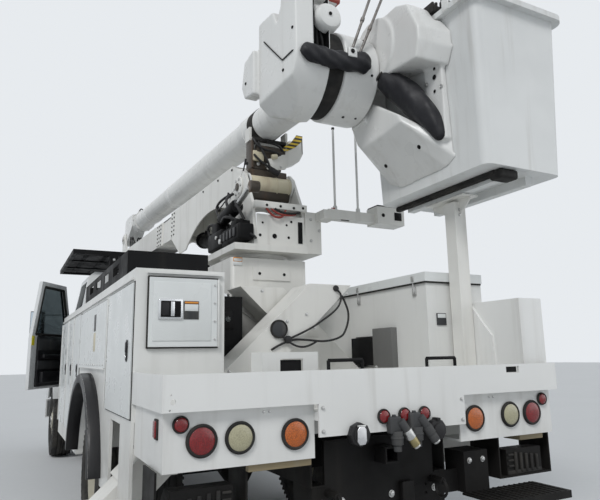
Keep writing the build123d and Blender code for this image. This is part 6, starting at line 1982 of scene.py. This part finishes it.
@dataclass
class Interior(Assembly):
    """Seats with swelled cushions, the wheel, the instruments and the floor mat."""

    swell: float = 0.024
    voxel: float = 0.012
    cushion: tuple[Point, Point] = ((-752, 5412, 1196), (-268, 5926, 1320))
    back: tuple[Point, Point] = ((-752, 5306, 1250), (-268, 5408, 1972))

    def pad(self, name: str, low: Point, high: Point) -> bpy.types.Mesh:
        """One cushion, swelled by cloth pressure and sewn into channels.

        Args:
            name: The mesh's name.
            low: Lowest corner.
            high: Highest corner.

        Returns:
            The finished mesh in metres.
        """
        form = Form(name, Finish.SEAT).box(low, high, 34, 4)
        bmesh.ops.scale(form.mesh, vec=(0.001, 0.001, 0.001), verts=form.mesh.verts[:])
        bmesh.ops.translate(form.mesh, vec=(0, -MIDDLE / 1000, 0), verts=form.mesh.verts[:])
        start = bpy.data.meshes.new(name)
        form.mesh.to_mesh(start)
        form.mesh.free()
        work = bpy.data.objects.new(name + "_work", start)
        scene = bpy.context.scene
        scene.collection.objects.link(work)
        cut = work.modifiers.new("cut", "REMESH")
        cut.mode, cut.voxel_size = "VOXEL", self.voxel
        work.data = bpy.data.meshes.new_from_object(work.evaluated_get(bpy.context.evaluated_depsgraph_get()))
        work.modifiers.clear()
        rest = [v.co.copy() for v in work.data.vertices]
        cloth = work.modifiers.new("cloth", "CLOTH")
        cloth.settings.use_pressure = True
        cloth.settings.uniform_pressure_force = 4.0
        cloth.settings.effector_weights.gravity = 0.0
        cloth.point_cache.frame_start, cloth.point_cache.frame_end = 1, 20
        for step in range(1, 21):
            scene.frame_set(step)
        swelled = bpy.data.meshes.new_from_object(work.evaluated_get(bpy.context.evaluated_depsgraph_get()))
        work.modifiers.clear()
        for vertex, moved, first in zip(work.data.vertices, swelled.vertices, rest):
            shift = moved.co - first
            if shift.length > self.swell:
                shift *= self.swell / shift.length
            vertex.co = first + shift
        scene.frame_set(1)
        finer = work.modifiers.new("finer", "SUBSURF")
        finer.levels = finer.render_levels = 1
        done = bpy.data.meshes.new_from_object(work.evaluated_get(bpy.context.evaluated_depsgraph_get()))
        bpy.data.objects.remove(work)
        upright = high[2] - low[2] > 400
        span = Vector(high) - Vector(low)
        for vertex in done.vertices:
            x, y, z = vertex.co.x * 1000, vertex.co.y * 1000 + MIDDLE, vertex.co.z * 1000
            across = (x - low[0]) / span.x
            along = (z - low[2]) / span.z if upright else (y - low[1]) / span.y
            seams = [abs(along - k) * (span.z if upright else span.y) for k in (0.25, 0.5, 0.75)]
            inner = min(across, 1 - across) * span.x > 74
            near = min(seams) if inner else 1e3
            near = min(near, abs(min(across, 1 - across) * span.x - 74))
            depth = 0.008 * math.exp(-(near / 9.0) ** 2)
            vertex.co -= vertex.normal * depth
        return done

    def build_seats(self) -> None:
        """The four padded pieces and the bases under them."""
        bases = Form("seat_bases", Finish.BLACK)
        bases.box((-704, 5416, 1025), (-316, 5884, 1070), 8).box((-700, 5430, 1160), (-320, 5880, 1194), 8)
        bases.use(Finish.RUBBER)
        for i in range(5):
            bases.box((-684 + 4 * (i % 2), 5440, 1070 + i * 18), (-336 - 4 * (i % 2), 5864, 1088 + i * 18), 7, 3)
        bases.use(Finish.BLACK).box((-766, 5300, 1180), (-744, 5480, 1330), 8).box((-276, 5300, 1180), (-254, 5480, 1330), 8)
        bases.mirror().done("chassis", "black_steel", ("seats",))
        for kind, (low, high) in (("cushion", self.cushion), ("back", self.back)):
            shape = self.pad(f"seat_{kind}", low, high)
            for side in Side:
                data = shape.copy()
                if side is Side.RIGHT:
                    data.transform(Matrix.Diagonal((-1, 1, 1, 1)))
                    data.flip_normals()
                data.shade_smooth()
                data.materials.clear()
                data.materials.append(Finish.SEAT.material())
                piece = bpy.data.objects.new(f"seat_{kind}_{side.word}", data)
                bpy.context.scene.collection.objects.link(piece)
                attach(piece, "chassis")
                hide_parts("seats")
                LOG.info("%s: %d faces", piece.name, len(data.polygons))

    def build_dash(self) -> None:
        """Instruments, vents, wheel rim and floor mat."""
        face = Matrix.Translation((-500, 6085, 1540)) @ Matrix.Rotation(math.radians(42.7), 4, "X")
        part = Form("instruments", Finish.BLACK_GLOSS)
        part.box((-250, -78, -4), (250, 78, 8), 10, 3, face).box((360, -70, -4), (640, 70, 8), 8, 3, face)
        part.use(Finish.CHROME)
        for x, r in ((-150, 58), (0, 58), (150, 58)):
            c, d = face @ Vector((x, 0, 7)), face @ Vector((x, 0, 12))
            part.use(Finish.CHROME).bar(c, d, r, 36, 2)
            part.use(Finish.CLEAR_LENS).bar(face @ Vector((x, 0, 11)), face @ Vector((x, 0, 14)), r - 8, 36, 1)
        part.use(Finish.GREY)
        for x in (700, 900, 1100, -350):
            for k in range(5):
                part.box((x, -50 + k * 22, 4), (x + 120, -38 + k * 22, 10), 2, 1, face)
        part.use(Finish.RUBBER).box((-985, 5200, 1024), (985, 6330, 1034), 4)
        part.done("chassis", "black_plastic")
        wheel = Form("steering_wheel", Finish.BLACK_GLOSS)
        wheel.lathe([(19.5 * math.sin(a), 226 + 19.5 * math.cos(a)) for a in (math.tau * i / 12 for i in range(12))],
                    (0, 0, 0), Axis.Z, 48)
        wheel.box((-216, -24, -9), (216, 24, 16), 8, 3).bar((0, 0, -14), (0, 0, 30), 66, 32, 10)
        wheel.done("chassis", "black_plastic",
                   turn=Matrix.Translation((-500, 5915, 1535)) @ Matrix.Rotation(math.radians(55), 4, "X"))

    def build(self) -> None:
        """Makes the cab's interior."""
        self.build_seats()
        self.build_dash()


def main() -> None:
    """Builds the sub-assemblies in order and reports them."""
    logging.basicConfig(level=logging.INFO, format="%(message)s")
    for part in (Studio(), Dressing(), TailLamps(), TailFittings(), LineBody(), BoomTip(), BucketMount(),
                 TurretWork(), Booms(), Stands(), Wheels(), Cab(), Nose(), Interior()):
        LOG.info("building %s", type(part).__name__)
        part.build()


if __name__ == "__main__":
    main()
